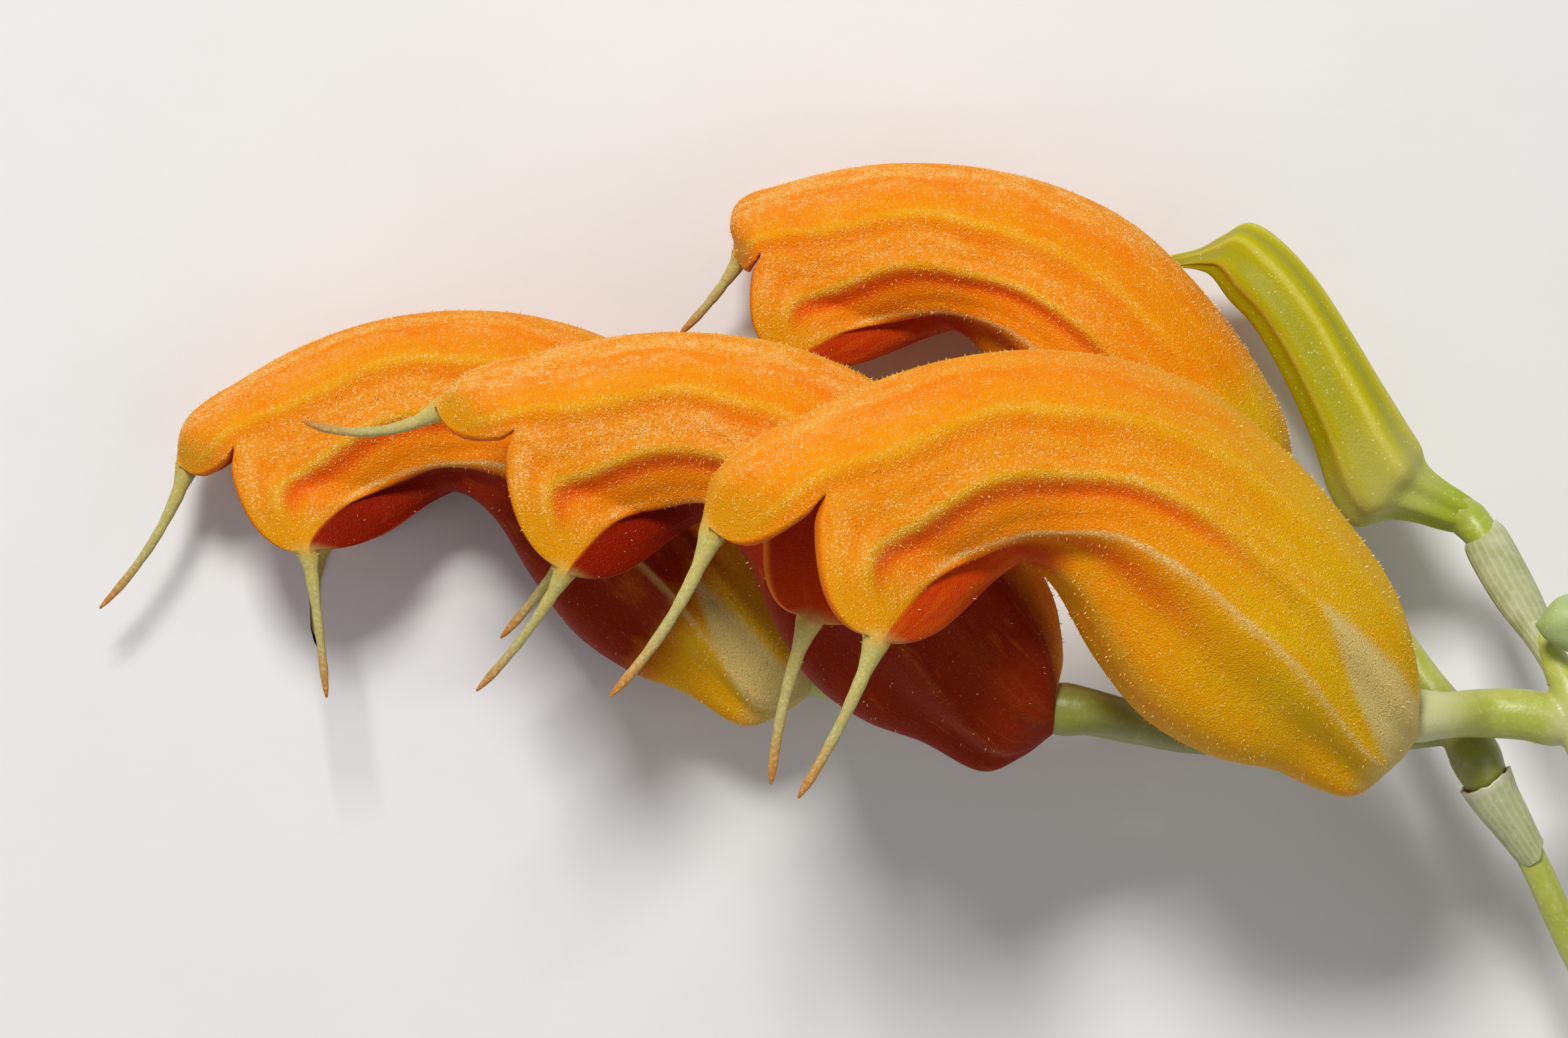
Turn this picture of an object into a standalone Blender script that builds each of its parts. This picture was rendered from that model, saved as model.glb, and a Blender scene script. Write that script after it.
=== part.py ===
"""Masdevallia orchid spray, cut and laid on its side: four tubular blooms, a bud and their stalks.

Lengths are in metres, with +Z up. The spray lies on the plane z = 0 and shows its blooms in profile
from above.
Outline points are written in millimetres and scaled by MM where they are used.
"""

import math
from collections import namedtuple

import bmesh
import bpy
import numpy as np
from mathutils import Matrix, Vector

MM = 0.001
GAP = 0.3 * MM

# Tube of a bloom in profile, from the ovary joint to above the mouth: (forward, up) in mm at each station.
DORSAL_LINE = ((0.4, 1.0), (0.6, 1.95), (1.6, 3.6), (2.8, 4.75), (4.6, 6.05), (7.0, 7.45),
               (9.9, 8.6), (12.8, 8.85), (15.6, 8.45), (18.4, 7.45), (20.9, 6.0), (23.2, 4.2))
VENTRAL_LINE = ((-0.2, -0.9), (0.5, -2.1), (1.7, -3.2), (4.1, -3.05), (6.4, -3.2), (8.8, -2.6),
                (10.9, -1.1), (12.8, 0.8), (14.4, 1.6), (15.9, 1.0), (18.4, -0.9), (21.2, -2.6))
HALF_WIDTH = (1.0, 1.7, 2.5, 3.1, 3.5, 3.6, 3.45, 3.2, 2.95, 2.85, 2.75, 2.75)
# Angles round the tube, from the dorsal midline, of the seam between sepals and of the keel of the
# lower sepal.
SEAM_ANGLE = (72, 70, 66, 64, 63, 63, 65, 70, 74, 69, 78, 67)
KEEL_ANGLE = (143, 134, 125, 114, 102, 100, 103, 114, 130, 132, 132, 130)
# Middle of the base, and the way it faces, in the bloom's frame.
BASE_POINT = (0.1, 0.05)
BASE_FACING = (-0.95, 0.31)
BEND_PIVOT = (12.5, 4.0)
NOTCH_STATION = 10.93
CLEFT_STATION = 8
INNER_FLOOR_STATION = 1.6
WALL = 0.7

# Columns round half a tube: (place, relief in mm). A place runs 0 to 1 from the dorsal midline to the
# seam, and from there 1 to 2 to the keel and 2 to 3 to the ventral midline. Relief makes ribs and the
# grooves between.
RIBS = ((0.0, 0.08), (0.25, -0.04), (0.52, -0.10), (0.82, 0.18), (1.0, -0.04), (1.2, 0.0), (1.38, 0.20),
        (1.68, -0.12), (2.0, 0.26), (2.3, -0.28), (2.65, 0.14), (3.0, -0.04))
SEAM_COLUMN = 4
TUBE_ROWS = 17
FREE_ROWS = 6
TAIL_ROWS = 6

# Where the three tails start, in mm in the bloom's frame (forward, up, sideways), and their thickness.
HOOD_TAIL_BASE = (25.2, -0.2, 0.0)
LOBE_TAIL_BASE = (19.8, -2.0, 3.2)
TAIL_RADIUS = 0.45
TAIL_TIP_RADIUS = 0.3
TAIL_EDGE_ANGLE = 28

# Directions in which the free edges leave the tube and reach the tails, with the reach of the curve
# in mm. The hood's are for a tail that starts HOOD_SPAN from the end of the tube.
HOOD_CREST = ((9.2, -6.5, 0.0), 4.0)
HOOD_EDGE = ((2.0, -2.6, -0.2), (2.85, 3.15, -2.4))
HOOD_SPAN = 4.83
LOBE_FRONT_EDGE = ((-0.3, -4.95, 0.6), (-4.6, 0.0, 0.2))
LOBE_KEEL_REACH = (3.5, 3.0)
LOBE_CLEFT_EDGE = ((4.6, -3.4, 1.5), (6.5, -0.8, 1.6))

# A tail is its angle below the bloom's axis where it starts and where it ends, in degrees, and its
# length in mm.
Tail = namedtuple("Tail", "start end length")
# A bloom is placed by its ovary joint in mm. Stretch is along, across and through its profile. Roll turns
# its back up towards the viewer. Bend is the angle in degrees by which its mouth is turned up from its
# base. Hood and lobe reach shift the starts of the tails (forward, up) in mm.
Bloom = namedtuple("Bloom", "name joint stretch pitch yaw roll bend hood_reach lobe_reach "
                            "hood_tail near_tail far_tail")
BLOOMS = (
    Bloom("bloom_front", (20.83, -6.32, 10.45), (1.023, 0.969, 1.0), 14.7, 20.0, 0.0, -2.8,
          (-0.3, 0.45), (0.06, -0.08), Tail(84, 58, 6.5), Tail(84, 70, 5.8), Tail(82, 99, 5.7)),
    Bloom("bloom_middle", (9.02, -6.36, 9.68), (0.9, 0.874, 0.93), 23.6, 2.0, 13.1, 0.3,
          (-0.03, 1.35), (-1.17, 0.23), Tail(58, 2, 5.4), Tail(86, 70, 5.8), Tail(84, 72, 5.3)),
    Bloom("bloom_left", (2.07, -3.9, 3.28), (0.97, 0.864, 0.88), 15.0, -1.0, 3.3, -16.6,
          (-1.0, 1.44), (-0.7, 0.43), Tail(80, 46, 6.3), Tail(107, 107, 5.8), Tail(84, 110, 4.2)),
    Bloom("bloom_upper", (17.39, 0.26, 3.4), (0.899, 0.787, 0.92), 23.2, -1.0, 13.9, -6.1,
          (-2.05, 1.38), (0.04, 0.41), Tail(80, 66, 4.3), Tail(84, 70, 3.2), Tail(84, 70, 3.2)),
)


# Round green parts, as lines of (x, y, z, half thickness) in mm. The pedicels go on to their bloom's joint.
STALK_LOWER_LINE = ((31.99, -24.08, 0.5, 0.56), (29.71, -19.85, 2.8, 0.58), (27.89, -16.86, 4.4, 0.55),
                    (26.45, -14.3, 5.6, 0.52), (24.98, -11.25, 6.4, 0.5))
STALK_SECOND_LINE = ((29.75, -19.9, 2.8, 0.4), (29.44, -17.29, 4.6, 0.55), (28.7, -13.64, 6.5, 0.56),
                     (27.64, -10.25, 8.1, 0.58), (26.75, -7.9, 8.9, 0.68), (26.3, -6.6, 9.1, 0.72),
                     (25.98, -5.55, 9.0, 0.6))
FRONT_PEDICEL_LINE = ((26.4, -6.95, 9.05, 0.5), (25.6, -6.75, 8.95, 0.82), (24.69, -6.51, 8.9, 0.86),
                      (23.2, -6.45, 8.95, 0.82))
STALK_UPPER_LINE = ((23.2, -8.12, 6.85, 0.76), (22.82, -7.33, 6.6, 0.66), (21.6, -5.57, 5.8, 0.6),
                    (20.48, -3.91, 5.0, 0.58), (19.5, -2.4, 4.2, 0.58), (18.9, -0.9, 3.6, 0.6))
MIDDLE_PEDICEL_LINE = ((22.5, -7.1, 6.5, 0.45), (19.44, -7.34, 6.0, 0.55), (15.88, -7.34, 6.4, 0.6),
                       (13.39, -7.16, 7.4, 0.66), (11.8, -6.8, 8.5, 0.7))
LEFT_PEDICEL_LINE = ((16.1, -7.34, 6.3, 0.45), (12.6, -7.15, 5.2, 0.55), (9.73, -6.7, 4.6, 0.55),
                     (6.5, -6.5, 4.1, 0.6), (4.0, -6.2, 3.7, 0.62))
PEDICEL_END_RADIUS = 0.86
FUNNEL_LINE = ((24.8, -10.87, 6.5, 0.55), (24.0, -9.75, 6.7, 0.68), (23.35, -8.7, 6.85, 0.8))
STALK_SIDES = 12

# Flat-lying parts, as sections between two edge points in mm: (x, y, x, y, z of the middle).
BUD_SECTIONS = ((23.52, 0.36, 22.53, -0.42, 5), (22.89, 0.79, 22, -0.29, 5.2),
                (22.13, 1.27, 21.25, -0.07, 5.4), (21.55, 1.78, 20.37, 0.04, 5.5),
                (21.32, 2.4, 19.21, -0.18, 5.6), (20.82, 3.2, 18.42, 0.8, 5.6),
                (19.93, 4.65, 17.82, 2.65, 5.5), (18.94, 6.32, 16.83, 4.87, 5.3),
                (17.86, 8, 15.85, 6.55, 5), (16.66, 9.35, 15.05, 7.45, 4.6),
                (15.66, 9.93, 14.48, 8.25, 4.2), (14.81, 9.55, 14.08, 8.45, 3.7),
                (14.08, 9.16, 13.63, 8.53, 3), (13.25, 8.97, 13.2, 8.52, 2.1),
                (12.8, 8.89, 12.84, 8.53, 1.5))
BUD_RIBS = 6
BUD_RIB_RELIEF = 0.06
SHEATH_SECTIONS = ((26.10, -4.86, 25.34, -5.30, 8.85), (25.74, -3.77, 24.73, -4.21, 8.1),
                   (25.30, -2.56, 23.84, -3.01, 7.2), (24.80, -1.42, 23.16, -1.80, 6.3),
                   (24.26, -0.36, 22.88, -1.09, 5.6), (23.93, 0.0, 22.93, -0.78, 5.2))
YOUNG_BUD_SECTIONS = ((24.84, -3.48, 24.88, -3.57, 9.9), (25.53, -2.65, 25.20, -3.96, 10.0),
                      (26.30, -2.54, 25.97, -4.40, 10.0), (27.17, -3.09, 26.45, -4.73, 10.0),
                      (27.77, -3.96, 26.90, -4.84, 9.9), (27.92, -4.95, 27.27, -5.06, 9.7),
                      (27.62, -6.05, 27.25, -5.80, 9.5))
FLAT_DEPTH = 0.9

# Point of the layout above that becomes the origin, in mm.
ORIGIN = (4.38, -6.17)

SEPAL_ORANGE = (0.86, 0.36, 0.02, 1.0)
BUD_YELLOW_GREEN = (0.55, 0.52, 0.05, 1.0)
STALK_GREEN = (0.36, 0.42, 0.07, 1.0)
SHEATH_PAPER = (0.56, 0.55, 0.33, 1.0)

def clear_scene():
    """Start from an empty scene."""
    for old in list(bpy.data.objects):
        bpy.data.objects.remove(old, do_unlink=True)


def make_material(name, colour, roughness):
    """Principled material with one colour."""
    material = bpy.data.materials.new(name)
    material.use_nodes = True
    shader = material.node_tree.nodes["Principled BSDF"]
    shader.inputs["Base Color"].default_value = colour
    shader.inputs["Roughness"].default_value = roughness
    shader.inputs["Metallic"].default_value = 0.0
    return material


def along(points, at):
    """Value of a smooth curve through the points, at a place counted in points from the first one."""
    points = np.asarray(points, float)
    last = len(points) - 1
    at = min(max(at, 0.0), float(last))
    i = min(int(at), last - 1)
    f = at - i
    p1, p2 = points[i], points[i + 1]
    p0 = points[i - 1] if i > 0 else 2 * p1 - p2
    p3 = points[i + 2] if i + 2 <= last else 2 * p2 - p1
    return 0.5 * (2 * p1 + (p2 - p0) * f + (2 * p0 - 5 * p1 + 4 * p2 - p3) * f ** 2
                  + (3 * p1 - p0 - 3 * p2 + p3) * f ** 3)


def hermite(start, start_reach, end, end_reach, f):
    """Cubic curve between two points with a given reach at each end."""
    return ((2 * f ** 3 - 3 * f ** 2 + 1) * start + (f ** 3 - 2 * f ** 2 + f) * start_reach
            + (3 * f ** 2 - 2 * f ** 3) * end + (f ** 3 - f ** 2) * end_reach)


def ease(value):
    """Smooth step from 0 to 1."""
    value = min(max(value, 0.0), 1.0)
    return value * value * (3 - 2 * value)


def tube_angle(station, place):
    """Angle round the tube, in radians, of a place between the dorsal and the ventral midline."""
    seam = float(along(SEAM_ANGLE, station))
    keel = float(along(KEEL_ANGLE, station))
    return math.radians(np.interp(place, (0, 1, 2, 3), (0.0, seam, keel, 180.0)))


def last_station(place):
    """Station at which the tube opens: at the notch for the hood, further back towards the cleft."""
    return NOTCH_STATION + (CLEFT_STATION - NOTCH_STATION) * max(place - 1, 0.0) / 2


def tube_point(station, place, side, out):
    """Point on the tube, moved outwards by out millimetres, in mm (forward, up, sideways)."""
    top, bottom = along(DORSAL_LINE, station), along(VENTRAL_LINE, station)
    middle, arm = (top + bottom) / 2, (top - bottom) / 2
    height, width = np.linalg.norm(arm), float(along(HALF_WIDTH, station))
    angle = tube_angle(station, place)
    c, s = math.cos(angle), math.sin(angle)
    normal = np.append(arm / height * (c / height), s / width)
    normal /= np.linalg.norm(normal)
    point = np.append(middle + arm * c, width * s) + normal * out
    point[2] *= side
    return point


def tail_heading(tail, f):
    """Direction of a tail at a fraction of its length."""
    angle = math.radians(tail.start + (tail.end - tail.start) * f)
    return np.array((math.cos(angle), -math.sin(angle), 0.0))


def tail_ring_axes(heading, lobe_side):
    """Outward and across axes of a tail's section. Lobe side is 0 for the hood's tail."""
    front = np.array((-heading[1], heading[0], 0.0))
    sideways = np.array((0.0, 0.0, 1.0))
    return (front, sideways) if lobe_side == 0 else (sideways * lobe_side, front)


def tail_ring_point(centre, radius, heading, lobe_side, turn, outer):
    """Point on a tail's section; turn is the angle from its outward axis to its across axis."""
    outward, across = tail_ring_axes(heading, lobe_side)
    sign = 1 if outer else -1
    return centre + radius * (sign * math.cos(turn) * outward + math.sin(turn) * across)


def free_reaches(place, side, lobe_side, flow, heading, gape):
    """How a line of the sheet leaves the tube and how it reaches the tail."""
    mirror = np.array((1.0, 1.0, side))
    if lobe_side == 0:
        edge = ease((place - 0.35) / 0.65)
        start = (1 - edge) * np.array(HOOD_CREST[0]) + edge * np.array(HOOD_EDGE[0])
        end = (1 - edge) * heading * HOOD_CREST[1] + edge * np.array(HOOD_EDGE[1])
        return start * mirror * gape, end * mirror * gape
    front = ease(1 - (place - 1) / 0.55)
    cleft = ease((place - 2) / 1.0)
    keel = 1 - front - cleft
    start = (front * np.array(LOBE_FRONT_EDGE[0]) + cleft * np.array(LOBE_CLEFT_EDGE[0])) * mirror
    end = (front * np.array(LOBE_FRONT_EDGE[1]) + cleft * np.array(LOBE_CLEFT_EDGE[1])) * mirror
    return start + keel * flow * LOBE_KEEL_REACH[0], end + keel * heading * LOBE_KEEL_REACH[1]


def sheet_point(bloom, place, side, lobe, row, outer, relief):
    """Point of the outer or the inner face of a bloom's sepals, in mm in the bloom's frame."""
    out = relief if outer else relief * 0.6 - WALL
    mouth = last_station(place)
    if row <= TUBE_ROWS:
        first = 0.0 if outer else INNER_FLOOR_STATION
        station = first + (mouth - first) * row / TUBE_ROWS
        out -= relief * (1 - ease(station / 2.5)) * (1.0 if outer else 0.6)
        return tube_point(station, place, side, out)
    lobe_side = lobe_side_of(lobe)
    base = tail_base(bloom, lobe)
    heading = tail_heading(tail_of(bloom, lobe), 0.0)
    turn_share = side * place if lobe == "hood" else 2 - place
    turn = math.radians(90 - TAIL_EDGE_ANGLE) * turn_share
    start = tube_point(mouth, place, side, out)
    flow = start - tube_point(mouth - 0.3, place, side, out)
    flow /= np.linalg.norm(flow)
    end = tail_ring_point(base, TAIL_RADIUS, heading, lobe_side, turn, outer)
    start_reach, end_reach = free_reaches(place, side, lobe_side, flow, heading, hood_gape(bloom))
    return hermite(start, start_reach, end, end_reach, (row - TUBE_ROWS) / FREE_ROWS)


def to_bloom_frame(bloom, point):
    """Bent and stretched, in metres in the bloom's object: -X forward, +Y up, +Z towards the viewer."""
    forward, up = point[0] - BEND_PIVOT[0], point[1] - BEND_PIVOT[1]
    angle = math.radians(bloom.bend) * forward / (2 * BEND_PIVOT[0])
    c, s = math.cos(angle), math.sin(angle)
    bent = np.array((-(forward * c - up * s + BEND_PIVOT[0]), forward * s + up * c + BEND_PIVOT[1], point[2]))
    return Vector(bent * bloom.stretch * MM)


def lobe_side_of(lobe):
    """Side of the bloom that a lobe is on: 0 for the hood, 1 near, -1 far."""
    return {"hood": 0, "near": 1, "far": -1}[lobe]


def tail_of(bloom, lobe):
    """Tail of a lobe."""
    return {"hood": bloom.hood_tail, "near": bloom.near_tail, "far": bloom.far_tail}[lobe]


def tail_base(bloom, lobe):
    """Point where a lobe's tail starts, in mm in the bloom's frame."""
    if lobe == "hood":
        return np.array(HOOD_TAIL_BASE) + np.append(bloom.hood_reach, 0.0)
    base = np.array(LOBE_TAIL_BASE) + np.append(bloom.lobe_reach, 0.0)
    base[2] *= lobe_side_of(lobe)
    return base


def hood_gape(bloom):
    """How far a bloom's hood tail starts from the end of its tube, as a share of the usual span."""
    crest = np.array(along(DORSAL_LINE, NOTCH_STATION))
    return np.linalg.norm(crest - tail_base(bloom, "hood")[:2]) / HOOD_SPAN


def bloom_columns():
    """Columns round the whole tube, from the dorsal midline down the near side and back up the far side."""
    near = [(place, 1, relief) for place, relief in RIBS]
    far = [(place, -1, relief) for place, relief in reversed(RIBS[1:-1])]
    return near + far


def quad_strip(bm, upper, lower):
    """Triangles between two rows of vertices, split alike in every cell."""
    for i in range(len(upper) - 1):
        bm.faces.new((upper[i], upper[i + 1], lower[i + 1]))
        bm.faces.new((upper[i], lower[i + 1], lower[i]))


def add_tail(bm, bloom, ring, shares, lobe):
    """Tapering tail that goes on from the ring of vertices at the end of a lobe, with a round tip.

    Shares are the ring's points on a unit circle, as (outward, across)."""
    tail = tail_of(bloom, lobe)
    lobe_side = lobe_side_of(lobe)
    centre = tail_base(bloom, lobe)
    step = tail.length / TAIL_ROWS
    for row in range(1, TAIL_ROWS + 1):
        heading = tail_heading(tail, (row - 0.5) / TAIL_ROWS)
        centre = centre + heading * step
        radius = TAIL_RADIUS + (TAIL_TIP_RADIUS - TAIL_RADIUS) * math.sqrt(row / TAIL_ROWS)
        if row == TAIL_ROWS:
            radius *= 0.75
        axes = tail_ring_axes(tail_heading(tail, row / TAIL_ROWS), lobe_side)
        following = [bm.verts.new(to_bloom_frame(bloom, centre + radius * (a * axes[0] + b * axes[1])))
                     for a, b in shares]
        quad_strip(bm, ring + ring[:1], following + following[:1])
        ring = following
    tip = bm.verts.new(to_bloom_frame(bloom, centre + tail_heading(tail, 1.0) * TAIL_TIP_RADIUS * 0.6))
    for a, b in zip(ring, ring[1:] + ring[:1]):
        bm.faces.new((a, b, tip))


def close_ring(bm, ring):
    """Fan of triangles from the middle of a ring."""
    middle = bm.verts.new(sum((v.co for v in ring), Vector()) / len(ring))
    for a, b in zip(ring, ring[1:] + ring[:1]):
        bm.faces.new((a, b, middle))


def bloom_mesh(bloom):
    """Hollow sepal tube with a hood and two lobes that end in tails, as one closed shell."""
    bm = bmesh.new()
    columns = bloom_columns()
    count = len(columns)
    ventral = len(RIBS) - 1
    lobes = {"hood": range(-SEAM_COLUMN, SEAM_COLUMN + 1), "near": range(SEAM_COLUMN, ventral + 1),
             "far": range(ventral, count - SEAM_COLUMN + 1)}
    edges = {}
    for outer in (True, False):
        tube = [[bm.verts.new(to_bloom_frame(
            bloom, sheet_point(bloom, place, side, "tube", row, outer, relief)))
            for place, side, relief in columns] for row in range(TUBE_ROWS + 1)]
        for row in range(TUBE_ROWS):
            quad_strip(bm, tube[row] + tube[row][:1], tube[row + 1] + tube[row + 1][:1])
        close_ring(bm, tube[0])
        for lobe, members in lobes.items():
            rows = [[tube[TUBE_ROWS][k % count] for k in members]]
            for row in range(TUBE_ROWS + 1, TUBE_ROWS + FREE_ROWS + 1):
                line = []
                for k in members:
                    place, side, relief = columns[k % count]
                    side = lobe_side_of(lobe) or (1 if k >= 0 else -1)
                    point = sheet_point(bloom, place, side, lobe, row, outer, relief)
                    line.append(bm.verts.new(to_bloom_frame(bloom, point)))
                rows.append(line)
            for upper, lower in zip(rows, rows[1:]):
                quad_strip(bm, upper, lower)
            edges[lobe, outer] = rows
    for lobe in lobes:
        outer_rows, inner_rows = edges[lobe, True], edges[lobe, False]
        for side_index in (0, -1):
            quad_strip(bm, [r[side_index] for r in outer_rows], [r[side_index] for r in inner_rows])
        places = [columns[k % count][0] * (-1 if k < 0 else 1) for k in lobes[lobe]]
        turns = [math.radians(90 - TAIL_EDGE_ANGLE) * (p if lobe == "hood" else 2 - p) for p in places]
        shares = [(math.cos(t), math.sin(t)) for t in turns]
        shares += [(-x, y) for x, y in shares[::-1]]
        add_tail(bm, bloom, outer_rows[-1] + inner_rows[-1][::-1], shares, lobe)
    bmesh.ops.recalc_face_normals(bm, faces=bm.faces)
    mesh = bpy.data.meshes.new(bloom.name)
    bm.to_mesh(mesh)
    bm.free()
    mesh.shade_smooth()
    return mesh


def bloom_turn(bloom):
    """Rotation of a bloom about its ovary joint."""
    return (Matrix.Rotation(math.radians(-bloom.pitch), 3, "Z")
            @ Matrix.Rotation(math.radians(bloom.yaw), 3, "Y")
            @ Matrix.Rotation(math.radians(bloom.roll), 3, "X"))


def place(name, mesh, material, location=(0.0, 0.0, 0.0), turn=None):
    """Object at a location in mm of the layout."""
    mesh.materials.append(material)
    part = bpy.data.objects.new(name, mesh)
    part.location = (Vector(location) - Vector((*ORIGIN, 0.0))) * MM
    if turn:
        part.rotation_euler = turn.to_euler()
    bpy.context.collection.objects.link(part)
    return part


def press_flat(part):
    """Flatten what would lie below the floor, which leaves a small flat spot to rest on."""
    turn = part.rotation_euler.to_matrix()
    for vertex in part.data.vertices:
        world = part.location + turn @ vertex.co
        if world.z < 0:
            world.z = 0.0
            vertex.co = turn.transposed() @ (world - part.location)


def make_bloom(bloom, material):
    """Bloom object, turned into its pose, set down at its ovary joint and pressed flat where it lies."""
    part = place(bloom.name, bloom_mesh(bloom), material, bloom.joint, bloom_turn(bloom))
    press_flat(part)
    return part


def closed_mesh(name, rings):
    """Mesh through rings of points in mm, with a fan on each end."""
    bm = bmesh.new()
    rows = [[bm.verts.new(Vector(point) * MM) for point in ring] for ring in rings]
    for upper, lower in zip(rows, rows[1:]):
        quad_strip(bm, upper + upper[:1], lower + lower[:1])
    close_ring(bm, rows[0])
    close_ring(bm, rows[-1])
    bmesh.ops.recalc_face_normals(bm, faces=bm.faces)
    mesh = bpy.data.meshes.new(name)
    bm.to_mesh(mesh)
    bm.free()
    mesh.shade_smooth()
    return mesh


def smooth_line(points, steps=3):
    """Points of a smooth curve through unevenly spaced points, and the points between them."""
    points = [np.asarray(point, float) for point in points]
    points = [2 * points[0] - points[1]] + points + [2 * points[-1] - points[-2]]
    line = []
    for p0, p1, p2, p3 in zip(points, points[1:], points[2:], points[3:]):
        span, before, after = (np.linalg.norm(b - a) for a, b in ((p1, p2), (p0, p1), (p2, p3)))
        start, end = (p2 - p0) * span / (before + span), (p3 - p1) * span / (span + after)
        line += [hermite(p1, start, p2, end, i / steps) for i in range(steps)]
    return line + [points[-2]]


def round_stem(name, line):
    """Mesh of a round stem along a smooth line of (x, y, z, half thickness) in mm."""
    stations = smooth_line(line)
    rings = []
    for i, station in enumerate(stations):
        before, after = stations[max(i - 1, 0)][:3], stations[min(i + 1, len(stations) - 1)][:3]
        flow = Vector(after - before).normalized()
        side = flow.cross(Vector((0, 0, 1))).normalized()
        up = side.cross(flow)
        turns = [2 * math.pi * k / STALK_SIDES for k in range(STALK_SIDES)]
        centre, radius = Vector(station[:3]), float(station[3])
        rings.append([centre + radius * (math.cos(t) * side + math.sin(t) * up) for t in turns])
    return closed_mesh(name, rings)


def flat_stem(name, sections, sides=12, steps=2, ribs=0, relief=0.0):
    """Mesh through oval sections between two edge points each, with lengthwise ribs."""
    rings = []
    for i in range(steps * (len(sections) - 1) + 1):
        x1, y1, x2, y2, height = (float(value) for value in along(sections, i / steps))
        middle = Vector(((x1 + x2) / 2, (y1 + y2) / 2, height))
        arm = Vector(((x1 - x2) / 2, (y1 - y2) / 2, 0.0))
        depth = arm.length * FLAT_DEPTH
        ring = []
        for k in range(sides):
            turn = 2 * math.pi * k / sides
            swell = 1 + relief * math.cos(2 * ribs * turn) * min(arm.length, 1.0) / arm.length
            ring.append(middle + swell * (math.cos(turn) * arm + Vector((0, 0, depth * math.sin(turn)))))
        rings.append(ring)
    return closed_mesh(name, rings)


def pedicel_line(line, bloom):
    """Line of a pedicel that goes on to just short of its bloom's joint and meets it squarely."""
    turn = bloom_turn(bloom)
    gap = GAP / MM / bloom.stretch[0]
    ends = []
    for back in (gap + 1.0, gap + 0.12):
        start = np.array(BASE_POINT) + np.array(BASE_FACING) * back
        point = to_bloom_frame(bloom, (start[0], start[1], 0.0)) / MM
        ends.append((*(Vector(bloom.joint) + turn @ point), PEDICEL_END_RADIUS - 0.1 * back))
    return line + tuple(ends)


def grow_together(part, branches):
    """Join branches to a stem where they grow out of it, as one closed solid."""
    for branch in branches:
        union = part.modifiers.new("grown_together", "BOOLEAN")
        union.operation = "UNION"
        union.solver = "EXACT"
        union.object = branch
    solid = bpy.data.meshes.new_from_object(part.evaluated_get(bpy.context.evaluated_depsgraph_get()))
    part.modifiers.clear()
    part.data = solid
    for branch in branches:
        bpy.data.objects.remove(branch, do_unlink=True)


clear_scene()
sepal_material = make_material("sepal_orange", SEPAL_ORANGE, 0.55)
bud_material = make_material("bud_yellow_green", BUD_YELLOW_GREEN, 0.5)
stalk_material = make_material("stalk_green", STALK_GREEN, 0.5)
sheath_material = make_material("sheath_paper", SHEATH_PAPER, 0.65)

front, middle, left, upper = BLOOMS
for shape in BLOOMS:
    make_bloom(shape, sepal_material)

stalk_lower = place("stalk_lower", round_stem("stalk_lower", STALK_LOWER_LINE), stalk_material)
second = place("second", round_stem("second", STALK_SECOND_LINE), stalk_material)
front_pedicel = place("front_pedicel", round_stem("front_pedicel", pedicel_line(FRONT_PEDICEL_LINE, front)),
                      stalk_material)
grow_together(stalk_lower, [second, front_pedicel])
press_flat(stalk_lower)

stalk_upper = place("stalk_upper", round_stem("stalk_upper", pedicel_line(STALK_UPPER_LINE, upper)),
                    stalk_material)
middle_pedicel = place("middle_pedicel",
                       round_stem("middle_pedicel", pedicel_line(MIDDLE_PEDICEL_LINE, middle)), stalk_material)
left_pedicel = place("left_pedicel", round_stem("left_pedicel", pedicel_line(LEFT_PEDICEL_LINE, left)),
                     stalk_material)
grow_together(stalk_upper, [middle_pedicel, left_pedicel])

place("sheath_funnel", round_stem("sheath_funnel", FUNNEL_LINE), sheath_material)
place("sheath_long", flat_stem("sheath_long", SHEATH_SECTIONS), sheath_material)
place("bud", flat_stem("bud", BUD_SECTIONS, sides=20, ribs=BUD_RIBS // 2, relief=BUD_RIB_RELIEF),
      bud_material)
place("young_bud", flat_stem("young_bud", YOUNG_BUD_SECTIONS), bud_material)
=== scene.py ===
import math
from collections import namedtuple

import bmesh
import bpy
import numpy as np
from mathutils import Matrix, Vector


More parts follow.
